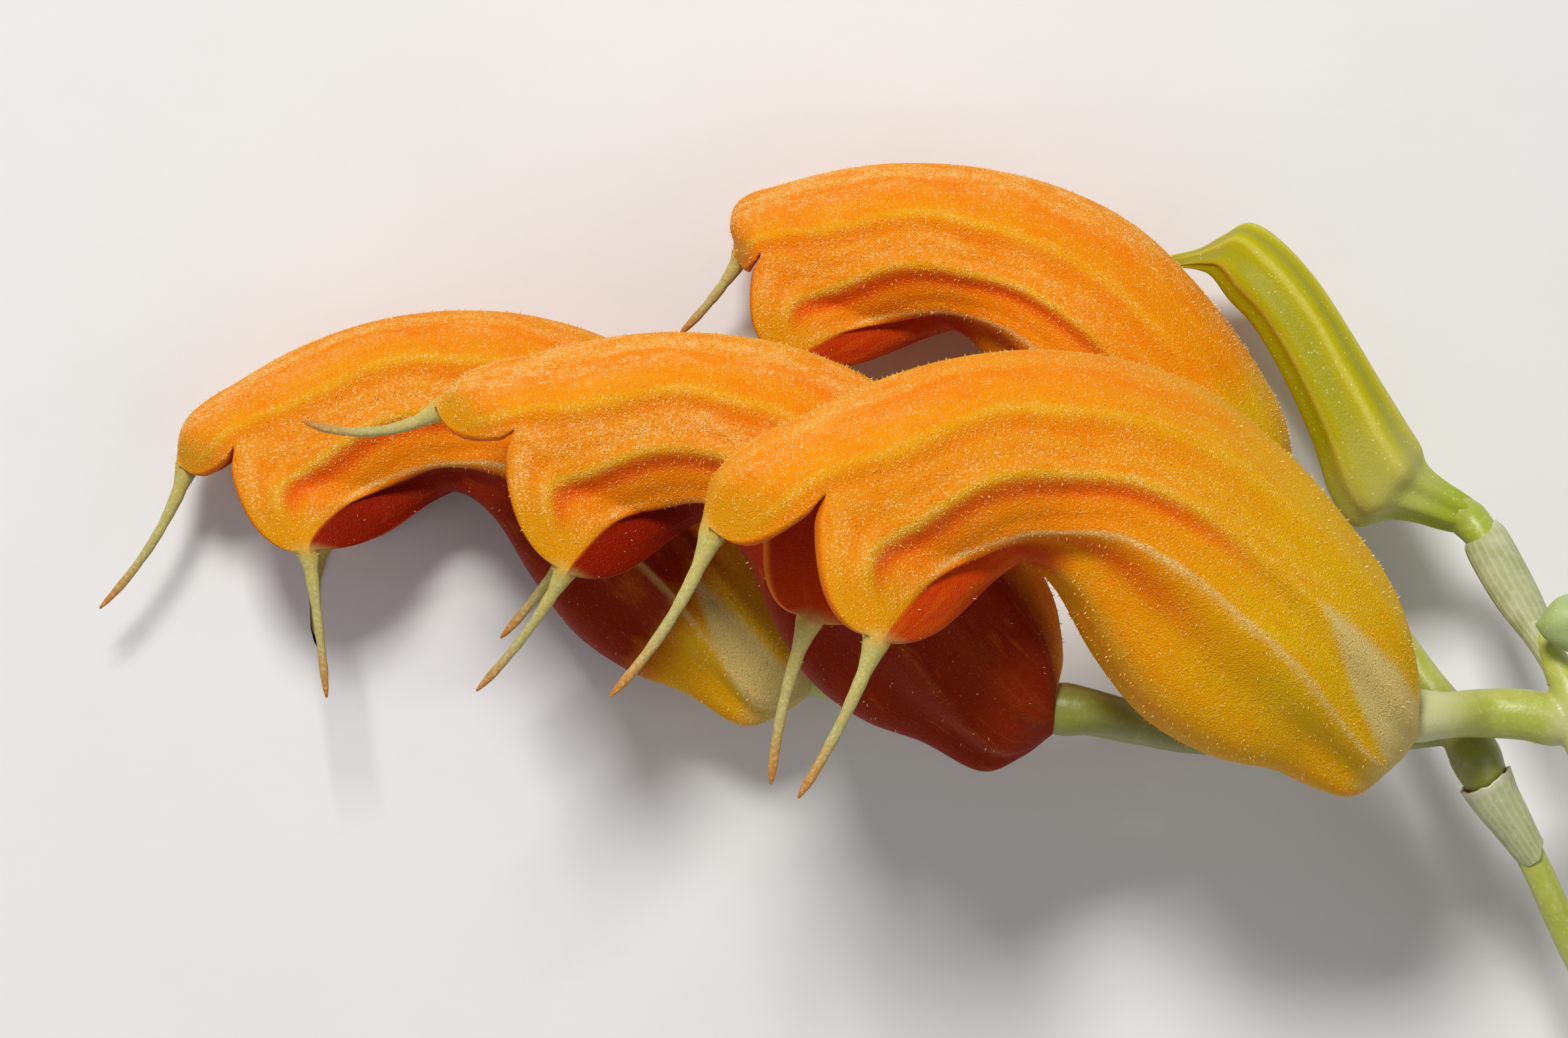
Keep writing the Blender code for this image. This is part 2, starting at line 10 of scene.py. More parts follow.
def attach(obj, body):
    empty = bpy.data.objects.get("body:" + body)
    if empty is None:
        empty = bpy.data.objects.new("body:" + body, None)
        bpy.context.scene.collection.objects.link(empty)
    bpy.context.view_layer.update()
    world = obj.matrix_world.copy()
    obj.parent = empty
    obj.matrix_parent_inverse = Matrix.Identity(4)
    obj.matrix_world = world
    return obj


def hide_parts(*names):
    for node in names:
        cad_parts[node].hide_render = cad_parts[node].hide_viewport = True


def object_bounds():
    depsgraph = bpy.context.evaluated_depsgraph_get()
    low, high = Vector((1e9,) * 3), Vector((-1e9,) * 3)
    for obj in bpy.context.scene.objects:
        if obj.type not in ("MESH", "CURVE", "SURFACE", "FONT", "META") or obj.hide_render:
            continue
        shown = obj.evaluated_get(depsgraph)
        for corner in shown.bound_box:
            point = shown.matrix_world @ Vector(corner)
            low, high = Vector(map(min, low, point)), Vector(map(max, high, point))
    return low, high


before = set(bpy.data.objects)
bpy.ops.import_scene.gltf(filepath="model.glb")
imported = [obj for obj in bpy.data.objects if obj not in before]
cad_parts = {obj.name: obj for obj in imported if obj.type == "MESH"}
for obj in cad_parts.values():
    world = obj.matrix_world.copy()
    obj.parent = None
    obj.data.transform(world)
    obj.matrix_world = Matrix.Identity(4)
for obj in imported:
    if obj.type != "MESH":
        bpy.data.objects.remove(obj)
cad_low, cad_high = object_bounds()

# The bench. The cut spray lies on a plain pale board, under one soft lamp up the slope of the picture and a weaker
# one across from it. The camera stands straight above the board and looks down.
MM = 0.001
PHOTO_WIDTH, LENS_PIXELS, SENSOR_MM = 2368, 12880, 36.0
CAMERA_PLACE = Vector((-4.38, 6.17, 292.0)) * MM
BOARD_SIZE, BOARD_GREY, BOARD_WHITE = 2.4, (0.74, 0.735, 0.72), (0.80, 0.795, 0.785)
ROOM_LIGHT, ROOM_STRENGTH = (0.93, 0.95, 1.0, 1.0), 0.20
# Lamps: name, place in mm, size in mm, power in watts and colour.
LAMPS = (("lamp_key", (-70, 260, 380), 110, 1.9, (1.0, 0.985, 0.96)),
         ("lamp_fill", (330, -120, 330), 300, 0.34, (0.95, 0.97, 1.0)),
         ("lamp_low", (-330, -160, 240), 240, 0.22, (1.0, 0.97, 0.94)))
LAMPS_FACE = Vector((0, 0, 6)) * MM


def add_node(tree, kind, settings=None, **inputs):
    """Shader or geometry node with settings, and inputs given by name as values or as sockets to link."""
    node = tree.nodes.new(kind)
    for key, value in (settings or {}).items():
        setattr(node, key, value)
    for key, value in inputs.items():
        socket = node.inputs[int(key[1:])] if key[0] == "_" else node.inputs[key.replace("_", " ")]
        if isinstance(value, bpy.types.NodeSocket):
            tree.links.new(value, socket)
        else:
            socket.default_value = value
    return node


def new_finish(name):
    """Material with its node tree, its shader and the object's own coordinates."""
    material = bpy.data.materials.new(name)
    material.use_nodes = True
    tree = material.node_tree
    shader = tree.nodes["Principled BSDF"]
    where = tree.nodes.new("ShaderNodeTexCoord").outputs["Object"]
    return material, tree, shader, where


def blend_colour(tree, share, under, over, mode="MIX"):
    """Colour over laid on colour under by a share, each a socket or a plain colour."""
    node = tree.nodes.new("ShaderNodeMix")
    node.data_type, node.blend_type, node.clamp_factor = "RGBA", mode, True
    for socket, value in ((node.inputs[0], share), (node.inputs[6], under), (node.inputs[7], over)):
        if isinstance(value, bpy.types.NodeSocket):
            tree.links.new(value, socket)
        else:
            socket.default_value = value if isinstance(value, float) else (*value, 1.0)
    return node.outputs[2]


def mottle(tree, where, size_mm, detail=3.0, roughness=0.55, stretch=None):
    """Noise from 0 to 1 with features of about a size in mm."""
    if stretch:
        where = add_node(tree, "ShaderNodeMapping", _0=where, _3=stretch).outputs[0]
    noise = add_node(tree, "ShaderNodeTexNoise", Vector=where, Scale=1.0 / (size_mm * MM), Detail=detail,
                     Roughness=roughness)
    return noise.outputs["Fac"]


def relief_bump(tree, height, depth_mm, strength=1.0, under=None):
    """Normal from a height, with its depth in mm."""
    bump = add_node(tree, "ShaderNodeBump", Height=height, Strength=strength, Distance=depth_mm * MM)
    if under:
        tree.links.new(under, bump.inputs["Normal"])
    return bump.outputs["Normal"]


board_finish, tree, shader, where = new_finish("board_matt_white")
board_shade = blend_colour(tree, mottle(tree, where, 9.0), BOARD_GREY, BOARD_WHITE)
tree.links.new(board_shade, shader.inputs["Base Color"])
shader.inputs["Roughness"].default_value = 0.85
tree.links.new(relief_bump(tree, mottle(tree, where, 0.6), 0.02, 0.4), shader.inputs["Normal"])
board_mesh = bpy.data.meshes.new("board")
half = BOARD_SIZE / 2
board_mesh.from_pydata([(-half, -half, 0), (half, -half, 0), (half, half, 0), (-half, half, 0)], [], [(0, 1, 2, 3)])
board_mesh.materials.append(board_finish)
board = bpy.data.objects.new("board", board_mesh)
bpy.context.collection.objects.link(board)

for name, place_mm, size_mm, power, colour in LAMPS:
    lamp = bpy.data.lights.new(name, "AREA")
    lamp.size, lamp.energy, lamp.color = size_mm * MM, power, colour
    holder = bpy.data.objects.new(name, lamp)
    holder.location = Vector(place_mm) * MM
    holder.rotation_euler = (LAMPS_FACE - holder.location).to_track_quat("-Z", "Y").to_euler()
    bpy.context.collection.objects.link(holder)

room = bpy.data.worlds.new("room")
room.use_nodes = True
room.node_tree.nodes["Background"].inputs["Color"].default_value = ROOM_LIGHT
room.node_tree.nodes["Background"].inputs["Strength"].default_value = ROOM_STRENGTH
bpy.context.scene.world = room
bpy.context.scene.view_settings.view_transform = "Standard"

lens = bpy.data.cameras.new("camera_above")
lens.sensor_width = SENSOR_MM
lens.lens = SENSOR_MM * LENS_PIXELS / PHOTO_WIDTH
lens.clip_start, lens.clip_end = 0.01, 20.0
camera = bpy.data.objects.new("camera_above", lens)
camera.location = CAMERA_PLACE
bpy.context.collection.objects.link(camera)
bpy.context.scene.camera = camera


# The blooms. Each is a fleshy tube of three sepals that grew together, with ribs over veins and grooves between.
# It opens in front into a hood and two keeled lobes, which end in thin tails. A place round the tube is counted
# from 0 on the back through 1 at the seam and 2 at the keel to 3 on the belly, a station along it from its base.
ORIGIN = (4.38, -6.17)  # point of the layout, in mm, that is the origin of the frame
# The tube's back and belly lines, half width and angles of seam and keel at each station, in mm and degrees.
DORSAL_LINE = (
    (0.4, 1.0), (0.6, 1.95), (1.6, 3.6), (2.8, 4.75), (4.6, 6.05), (7.0, 7.45), (9.9, 8.6), (12.8, 8.85),
    (15.6, 8.45), (18.4, 7.45), (20.9, 6.0), (23.2, 4.2))
VENTRAL_LINE = (
    (-0.2, -0.9), (0.5, -2.1), (1.7, -3.2), (4.1, -3.05), (6.4, -3.2), (8.8, -2.6), (10.9, -1.1), (12.8, 0.8),
    (14.4, 1.6), (15.9, 1.0), (18.4, -0.9), (21.2, -2.6))
HALF_WIDTH = (1.0, 1.7, 2.5, 3.1, 3.5, 3.6, 3.45, 3.2, 2.95, 2.85, 2.75, 2.75)
SEAM_ANGLE = (72, 70, 66, 64, 63, 63, 65, 70, 74, 69, 74, 67)
KEEL_ANGLE = (143, 134, 125, 114, 102, 100, 103, 114, 130, 132, 132, 130)
BASE_POINT, BASE_FACING = (0.1, 0.05), (-0.95, 0.31)
BEND_PIVOT = (12.5, 4.0)
NOTCH_STATION, CLEFT_STATION, INNER_FLOOR_STATION = 10.93, 8, 1.6
WALL, INNER_RELIEF = 0.7, 0.6
# Heights in mm of the crests and grooves at places round the tube.
RIBS = (
    (0.0, 0.08), (0.25, -0.04), (0.52, -0.10), (0.82, 0.14), (1.0, -0.04), (1.2, 0.0), (1.38, 0.18), (1.6, -0.07),
    (1.82, 0.03), (2.0, 0.2), (2.3, -0.28), (2.65, 0.14), (3.0, -0.04))
HOOD_TAIL_BASE, LOBE_TAIL_BASE = (25.2, -0.2, 0.0), (19.8, -2.0, 3.2)
TAIL_RADIUS, TAIL_EDGE_ANGLE = 0.45, 28
# How the lines of the free lobes leave the tube and reach their tails, in mm.
HOOD_CREST = ((9.2, -6.5, 0.0), 4.0)
HOOD_EDGE = ((2.0, -2.6, -0.2), (2.85, 3.15, -2.4))
HOOD_SPAN = 4.83
LOBE_FRONT_EDGE = ((-0.3, -4.95, 0.6), (-4.6, 0.0, 0.2))
LOBE_KEEL_REACH = (3.5, 3.0)
LOBE_CLEFT_EDGE = ((4.6, -3.4, 1.5), (6.5, -0.8, 1.6))

# Side of the bloom that each lobe is on.
LOBE_SIDES = {"hood": 0, "near": 1, "far": -1}
Tail = namedtuple("Tail", "start end length")
Bloom = namedtuple("Bloom", "name joint stretch pitch yaw roll bend hood_reach lobe_reach "
                            "hood_tail near_tail far_tail")
# Joints in mm of the layout, stretch along, up and sideways, turns and bend in degrees, and lobes' reach in mm.
# Each tail turns from its start to its end angle over its length in mm.
BLOOMS = (
    Bloom("bloom_front", (20.83, -6.32, 10.45), (1.023, 0.969, 1.0), 14.7, 20.0, 0.0, -2.8,
          (-0.3, 0.45), (0.06, -0.08), Tail(84, 58, 6.5), Tail(84, 70, 5.8), Tail(82, 99, 5.7)),
    Bloom("bloom_middle", (9.02, -6.36, 9.68), (0.9, 0.874, 0.93), 23.6, 2.0, 13.1, 0.3,
          (-0.03, 1.35), (-1.17, 0.23), Tail(58, 2, 5.4), Tail(86, 70, 5.8), Tail(84, 72, 5.3)),
    Bloom("bloom_left", (2.07, -3.9, 3.28), (0.97, 0.864, 0.88), 15.0, -1.0, 3.3, -16.6,
          (-1.0, 1.44), (-0.7, 0.43), Tail(80, 46, 6.3), Tail(107, 107, 5.8), Tail(84, 110, 4.2)),
    Bloom("bloom_upper", (17.39, 0.26, 3.4), (0.899, 0.787, 0.92), 23.2, -1.0, 13.9, -6.1,
          (-2.05, 1.38), (0.04, 0.41), Tail(80, 66, 4.3), Tail(84, 70, 3.2), Tail(84, 70, 3.2)),
)

# Fine steps of the sepals' skin: columns on each side, rows in the tube, in the free lobes and in the tails.
SIDE_COLUMNS, SEAM_INDEX = 75, 25
TUBE_ROWS, FREE_ROWS, TAIL_ROWS, RIM_STEPS = 120, 36, 34, 3
RIM_SWELL, RIM_SWELL_AT_TAIL = 0.32, 0.13
TAIL_POINT = 0.04
# Length in mm that a whole free lobe and one station of the tube stand for, counted from the mouth.
FREE_LOBE_MM, STATION_MM = 6.0, 2.4
# How far the lobes' ribs cut the corner of the mouth, and where they fade out beyond it, in mm.
CORNER_CUT, CORNER_AT, CORNER_WIDTH = 0.11, 0.2, 1.4
RIB_FADE_FROM, RIB_FADE_OVER = 1.4, 3.2
# Slow waves of the living skin: their length in stations and height in mm.
SKIN_WAVES = ((1.3, 0.02), (0.6, 0.018), (0.3, 0.014))
# Half thickness of a tail in mm along its length: it narrows fast from the lobe, and ends in a point.
TAIL_TAPER = (
    (0.0, 0.45), (0.07, 0.36), (0.16, 0.27), (0.3, 0.215), (0.55, 0.18), (0.85, 0.165), (0.95, 0.12), (1.0, 0.05))


def smooth_value(points, at):
    """Values of a smooth curve through the points, at places counted in points from the first one."""
    points, at = np.asarray(points, float), np.clip(np.asarray(at, float), 0, len(points) - 1)
    i = np.minimum(at.astype(int), len(points) - 2)
    padded = np.concatenate([2 * points[:1] - points[1:2], points, 2 * points[-1:] - points[-2:-1]])
    p0, p1, p2, p3 = (padded[i + k] for k in range(4))
    f = (at - i)[..., None] if points.ndim > 1 else at - i
    return 0.5 * (2 * p1 + (p2 - p0) * f + (2 * p0 - 5 * p1 + 4 * p2 - p3) * f ** 2
                  + (3 * p1 - p0 - 3 * p2 + p3) * f ** 3)


def hermite(start, start_reach, end, end_reach, f):
    """Cubic curve between two points with a given reach at each end."""
    return ((2 * f ** 3 - 3 * f ** 2 + 1) * start + (f ** 3 - 2 * f ** 2 + f) * start_reach
            + (3 * f ** 2 - 2 * f ** 3) * end + (f ** 3 - f ** 2) * end_reach)


def ease(value):
    """Smooth step from 0 to 1."""
    value = np.clip(value, 0.0, 1.0)
    return value * value * (3 - 2 * value)


def bump_at(value, middle, width):
    """Soft hump of height 1."""
    return np.exp(-((value - middle) / width) ** 2)


def rib_relief(place):
    """Height of the skin over the smooth tube, in mm: round crests over the veins and round grooves between."""
    places, heights = np.array(RIBS).T
    i = np.clip(np.searchsorted(places, place, side="right") - 1, 0, len(places) - 2)
    f = ease((place - places[i]) / (places[i + 1] - places[i]))
    return heights[i] + (heights[i + 1] - heights[i]) * f


def mouth_station(place):
    """Station at which the tube opens: at the notch for the hood, further back towards the cleft."""
    return NOTCH_STATION + (CLEFT_STATION - NOTCH_STATION) * np.maximum(place - 1, 0) / 2


def beyond_mouth(station, place, free):
    """Rough way from the mouth in mm along a line of the skin, less than 0 in the tube."""
    return np.where(free > 0, FREE_LOBE_MM * free, STATION_MM * (station - mouth_station(place)))


def rib_place(place, beyond):
    """Place whose rib is felt at a place near the mouth, where the lobes' ribs cut the corner of the tube."""
    return place - CORNER_CUT * bump_at(beyond, CORNER_AT, CORNER_WIDTH) * ease((place - 1.05) / 0.3)


def rib_fade(beyond):
    """Share of a rib's height that is left beyond the mouth, where the lobes end in smooth domes."""
    return 1 - ease((beyond - RIB_FADE_FROM) / RIB_FADE_OVER)


def tube_point(station, place, side, out):
    """Points on the tube, moved outwards by out millimetres, in mm (forward, up, sideways)."""
    top, bottom = smooth_value(DORSAL_LINE, station), smooth_value(VENTRAL_LINE, station)
    middle, arm = (top + bottom) / 2, (top - bottom) / 2
    height, width = np.linalg.norm(arm, axis=-1), smooth_value(HALF_WIDTH, station)
    seam, keel = smooth_value(SEAM_ANGLE, station), smooth_value(KEEL_ANGLE, station)
    angle = np.where(place <= 1, seam * place, np.where(place <= 2, seam + (keel - seam) * (place - 1),
                                                        keel + (180 - keel) * (place - 2)))
    c, s = np.cos(np.radians(angle)), np.sin(np.radians(angle))
    normal = np.stack([arm[..., 0] * c / height ** 2, arm[..., 1] * c / height ** 2, s / width], -1)
    normal /= np.linalg.norm(normal, axis=-1, keepdims=True)
    point = np.concatenate([middle + arm * c[..., None], (width * s)[..., None]], -1) + normal * out[..., None]
    point[..., 2] *= side
    return point


def tail_base(bloom, lobe):
    """Point where a lobe's tail starts, in mm in the bloom's frame."""
    if lobe == "hood":
        return np.array(HOOD_TAIL_BASE) + np.append(bloom.hood_reach, 0.0)
    base = np.array(LOBE_TAIL_BASE) + np.append(bloom.lobe_reach, 0.0)
    base[2] *= LOBE_SIDES[lobe]
    return base


def tail_heading(tail, f):
    """Direction of a tail at a share of its length."""
    angle = math.radians(tail.start + (tail.end - tail.start) * f)
    return np.array((math.cos(angle), -math.sin(angle), 0.0))


def tail_ring(centre, radius, heading, lobe_side, turns):
    """Points on a tail's section, at angles from its outward axis towards its across axis."""
    front, sideways = np.array((-heading[1], heading[0], 0.0)), np.array((0.0, 0.0, 1.0))
    outward, across = (front, sideways) if lobe_side == 0 else (sideways * lobe_side, front)
    return centre + radius * (np.cos(turns)[:, None] * outward + np.sin(turns)[:, None] * across)


def bend_and_stretch(bloom, points):
    """Points of the bloom bent and stretched, in mm in its own frame: -X forward, +Y up, +Z towards the camera."""
    forward, up = points[..., 0] - BEND_PIVOT[0], points[..., 1] - BEND_PIVOT[1]
    angle = np.radians(bloom.bend) * forward / (2 * BEND_PIVOT[0])
    c, s = np.cos(angle), np.sin(angle)
    return np.stack([-(forward * c - up * s + BEND_PIVOT[0]), forward * s + up * c + BEND_PIVOT[1],
                     points[..., 2]], -1) * bloom.stretch


def bloom_turn(bloom):
    """Turn of a bloom from its own frame into its pose in the spray."""
    return np.array(Matrix.Rotation(math.radians(-bloom.pitch), 3, "Z")
                    @ Matrix.Rotation(math.radians(bloom.yaw), 3, "Y")
                    @ Matrix.Rotation(math.radians(bloom.roll), 3, "X"))


def to_frame(points):
    """Points of the spray's layout in mm, in metres in the part's frame."""
    return (points - np.array((*ORIGIN, 0.0))) * MM


def set_in_spray(bloom, points):
    """Points of the bloom turned into its pose and put at its joint, in metres."""
    return to_frame(bend_and_stretch(bloom, points) @ bloom_turn(bloom).T + np.array(bloom.joint))


def hood_gape(bloom):
    """How far a bloom's hood tail starts from the end of its tube, as a share of the usual span."""
    crest = smooth_value(DORSAL_LINE, np.array([NOTCH_STATION]))[0]
    return np.linalg.norm(crest - tail_base(bloom, "hood")[:2]) / HOOD_SPAN


def lobe_reaches(place, side, lobe_side, flow, heading, gape):
    """How each line of a free lobe leaves the tube and how it reaches the tail."""
    mirror = np.stack([np.ones_like(side), np.ones_like(side), side], -1)
    place = place[:, None]
    if lobe_side == 0:
        edge = ease((place - 0.35) / 0.65)
        start = (1 - edge) * np.array(HOOD_CREST[0]) + edge * np.array(HOOD_EDGE[0])
        end = (1 - edge) * heading * HOOD_CREST[1] + edge * np.array(HOOD_EDGE[1])
        return start * mirror * gape, end * mirror * gape
    front, cleft = ease(1 - (place - 1) / 0.55), ease(place - 2)
    keel = 1 - front - cleft
    start = (front * np.array(LOBE_FRONT_EDGE[0]) + cleft * np.array(LOBE_CLEFT_EDGE[0])) * mirror
    end = (front * np.array(LOBE_FRONT_EDGE[1]) + cleft * np.array(LOBE_CLEFT_EDGE[1])) * mirror
    return start + keel * flow * LOBE_KEEL_REACH[0], end + keel * heading * LOBE_KEEL_REACH[1]


class Skin:
    """Vertices with their marks, and the faces between them, while a bloom grows row by row."""
    MARKS = ("station", "place", "side", "free", "tail", "inside")

    def __init__(self):
        self.points, self.marks, self.faces, self.count = [], [], [], 0

    def row(self, points, **marks):
        """Adds a row of points with marks, and gives their numbers."""
        points = np.atleast_2d(points)
        self.points.append(points)
        self.marks.append(np.stack([np.broadcast_to(marks.get(n, 0.0), len(points)) for n in self.MARKS], -1))
        self.count += len(points)
        return np.arange(self.count - len(points), self.count)

    def strip(self, upper, lower):
        """Faces between two rows."""
        self.faces.append(np.stack([upper[:-1], upper[1:], lower[1:], lower[:-1]], -1))

    def cap(self, ring, middle):
        """Faces from a ring to one point."""
        following = np.roll(ring, -1)
        self.faces.append(np.stack([ring, following, np.full_like(ring, middle), np.full_like(ring, -1)], -1))

    def mark(self, name):
        """One mark of all points."""
        return np.concatenate(self.marks)[:, self.MARKS.index(name)]


def skin_waves(station, place, side, seed):
    """Slow unevenness of the living skin, in mm."""
    rng = np.random.default_rng(seed)
    wave = 0.0
    for size, height in SKIN_WAVES:
        for _ in range(3):
            a, b, c = rng.uniform(0, 6.28, 3)
            wave = wave + height / 3 * np.sin(station / size * (0.8 + 0.4 * math.sin(a)) + a
                                              + 2.2 * math.sin(b) * place / size + side * c)
    return wave


def grow_tube(skin, places, sides, outer, seed):
    """Rows of the tube's outer or inner wall with its closed base, then at its mouth the smooth edge, the way
    outwards and the way in which each line leaves the tube."""
    mouth = mouth_station(places)
    first, share, depth = (0.0, 1.0, 0.0) if outer else (INNER_FLOOR_STATION, INNER_RELIEF, WALL)
    rows = []
    for row in range(TUBE_ROWS + 1):
        station = first + (mouth - first) * row / TUBE_ROWS
        relief = share * rib_relief(rib_place(places, beyond_mouth(station, places, 0.0))) * ease(station / 2.5)
        out = relief - depth + skin_waves(station, places, sides, seed) * (ease(station / 1.5) if outer else 0.4)
        points = tube_point(station, places, sides, out)
        rows.append(skin.row(points, station=station, place=places, side=sides, inside=float(not outer)))
        if row:
            skin.strip(np.append(rows[-2], rows[-2][0]), np.append(rows[-1], rows[-1][0]))
    middle = skin.row(np.concatenate(skin.points)[rows[0]].mean(0), inside=float(not outer), place=1.0)
    skin.cap(rows[0], middle[0])
    edge = tube_point(mouth, places, sides, np.full(len(places), -depth))
    outward = tube_point(mouth, places, sides, np.full(len(places), 1.0 - depth)) - edge
    flow = points - tube_point(mouth - 0.3, places, sides, out)
    return rows, edge, outward, flow / np.linalg.norm(flow, axis=1, keepdims=True)


def grow_lobe(skin, bloom, lobe, members, places, tube, outer):
    """Lines of a free lobe's outer or inner wall from the mouth to its tail, and their turns round the tail."""
    rows, edge, outward, flow = tube
    k = members % len(places)
    lobe_side, tail, place = LOBE_SIDES[lobe], getattr(bloom, lobe + "_tail"), places[k]
    side = np.where(members < 0, -1.0, 1.0) if lobe == "hood" else np.full(len(members), float(lobe_side))
    heading = tail_heading(tail, 0.0)
    turns = np.radians(90 - TAIL_EDGE_ANGLE) * (side * place if lobe == "hood" else 2 - place)
    end = tail_ring(tail_base(bloom, lobe), TAIL_RADIUS, heading, lobe_side, turns if outer else math.pi - turns)
    start_reach, end_reach = lobe_reaches(place, side, lobe_side, flow[k], heading, hood_gape(bloom))
    share = 1.0 if outer else INNER_RELIEF
    lines = [rows[-1][k]]
    for row in range(1, FREE_ROWS + 1):
        f = row / FREE_ROWS
        beyond = FREE_LOBE_MM * f
        rib = share * rib_relief(rib_place(place, beyond)) * rib_fade(beyond)
        points = hermite(edge[k], start_reach, end, end_reach, f) + outward[k] * rib[:, None]
        lines.append(skin.row(points, station=mouth_station(places)[k], place=place, side=side, free=f,
                              inside=float(not outer)))
        skin.strip(lines[-2], lines[-1])
    return lines, turns


def rim_ring(points, outer_line, inner_line, end, following, f):
    """Points round a free lobe's edge, from its outer wall to its inner one, that swell away from the lobe."""
    a, b = points[outer_line[end]], points[inner_line[end]]
    away = (a - points[outer_line[following]]) + (b - points[inner_line[following]])
    half_wall = (a - b) / 2
    away -= half_wall * (away @ half_wall) / (half_wall @ half_wall)
    away /= max(np.linalg.norm(away), 1e-9)
    swell = (RIM_SWELL + (RIM_SWELL_AT_TAIL - RIM_SWELL) * ease((f - 0.6) / 0.4)) * ease(f / 0.2)
    t = np.pi * np.arange(1, RIM_STEPS + 1) / (RIM_STEPS + 1)
    return ((a + b) / 2 + np.cos(t)[:, None] * half_wall
            + np.sin(t)[:, None] * away * swell * np.linalg.norm(a - b))


def grow_rims(skin, points, places, sides, walls, lobe_side, notch_rims):
    """Round edges of a free lobe, which share their first ring with the next lobe's. Gives their last rings."""
    outer_lines, inner_lines = walls
    last_rings = []
    for end, following in ((0, 1), (-1, -2)):
        corner = int(outer_lines[0][end]) % len(places)
        marks = {"station": mouth_station(places)[corner], "place": places[corner], "inside": 0.5}
        rims = []
        for row, (outer_line, inner_line) in enumerate(zip(outer_lines, inner_lines)):
            if row == 0 and corner in notch_rims:
                rims.append(notch_rims[corner])
                continue
            f = row / FREE_ROWS
            side = sides[corner] if row == 0 else float(lobe_side) or (-1.0 if end == 0 else 1.0)
            ring = rim_ring(points, outer_line, inner_line, end, following, f)
            rims.append(skin.row(ring, side=side, free=f, **marks))
        notch_rims[corner] = rims[0]
        full = [np.concatenate([[o[end]], r, [i[end]]]) for o, r, i in zip(outer_lines, rims, inner_lines)]
        for upper, lower in zip(full, full[1:]):
            skin.strip(upper, lower)
        last_rings.append(rims[-1])
    return last_rings


def turns_all_round(turns):
    """Turns round a whole tail from those of its outer half, with the steps of both edges between the halves."""
    far_rim = np.linspace(turns[-1], math.pi - turns[-1], RIM_STEPS + 2)[1:-1]
    near_turn = turns[0] if turns[0] > 0 else turns[0] + 2 * math.pi
    last_inner = math.pi - turns[0]
    near_rim = np.linspace(last_inner, last_inner + (near_turn - last_inner + math.pi) % (2 * math.pi) - math.pi,
                           RIM_STEPS + 2)[1:-1]
    return np.concatenate([turns, far_rim, math.pi - turns[::-1], near_rim])


def grow_tail(skin, bloom, lobe, ring, ring_turns, seed):
    """Thin uneven tail from a lobe's last ring to its point."""
    lobe_side, tail, centre = LOBE_SIDES[lobe], getattr(bloom, lobe + "_tail"), tail_base(bloom, lobe)
    marks = {"station": 11.0, "place": 0.0 if lobe == "hood" else 2.0, "free": 1.0}
    for row in range(1, TAIL_ROWS + 1):
        f = row / TAIL_ROWS
        centre = centre + tail_heading(tail, (row - 0.5) / TAIL_ROWS) * tail.length / TAIL_ROWS
        radius = float(np.interp(f, *zip(*TAIL_TAPER)))
        wobble = 1 + 0.05 * math.sin(f * 23 + seed) + 0.03 * math.sin(f * 51 + 2 * seed)
        points = tail_ring(centre, radius * wobble, tail_heading(tail, f), lobe_side, ring_turns)
        following = skin.row(points, tail=f, side=float(lobe_side), **marks)
        skin.strip(np.append(ring, ring[0]), np.append(following, following[0]))
        ring = following
    tip = skin.row(centre + tail_heading(tail, 1.0) * TAIL_POINT, tail=1.0, **marks)
    skin.cap(ring, tip[0])


def grow_bloom(bloom, seed):
    """Skin of one bloom, and its points in mm in the bloom's frame."""
    skin = Skin()
    near_places = np.linspace(0, 3, SIDE_COLUMNS + 1)
    places = np.concatenate([near_places, near_places[-2:0:-1]])
    sides = np.concatenate([np.ones(SIDE_COLUMNS + 1), -np.ones(SIDE_COLUMNS - 1)])
    lobes = {"hood": np.arange(-SEAM_INDEX, SEAM_INDEX + 1), "near": np.arange(SEAM_INDEX, SIDE_COLUMNS + 1),
             "far": np.arange(SIDE_COLUMNS, len(places) - SEAM_INDEX + 1)}
    free = {}
    for outer in (True, False):
        tube = grow_tube(skin, places, sides, outer, seed)
        for lobe, members in lobes.items():
            free[lobe, outer] = grow_lobe(skin, bloom, lobe, members, places, tube, outer)
    points, notch_rims = np.concatenate(skin.points), {}
    for lobe in lobes:
        (outer_lines, turns), (inner_lines, _) = free[lobe, True], free[lobe, False]
        near_rim, far_rim = grow_rims(skin, points, places, sides, (outer_lines, inner_lines), LOBE_SIDES[lobe],
                                      notch_rims)
        ring = np.concatenate([outer_lines[-1], far_rim, inner_lines[-1][::-1], near_rim[::-1]])
        grow_tail(skin, bloom, lobe, ring, turns_all_round(turns), seed)
    return skin, np.concatenate(skin.points)


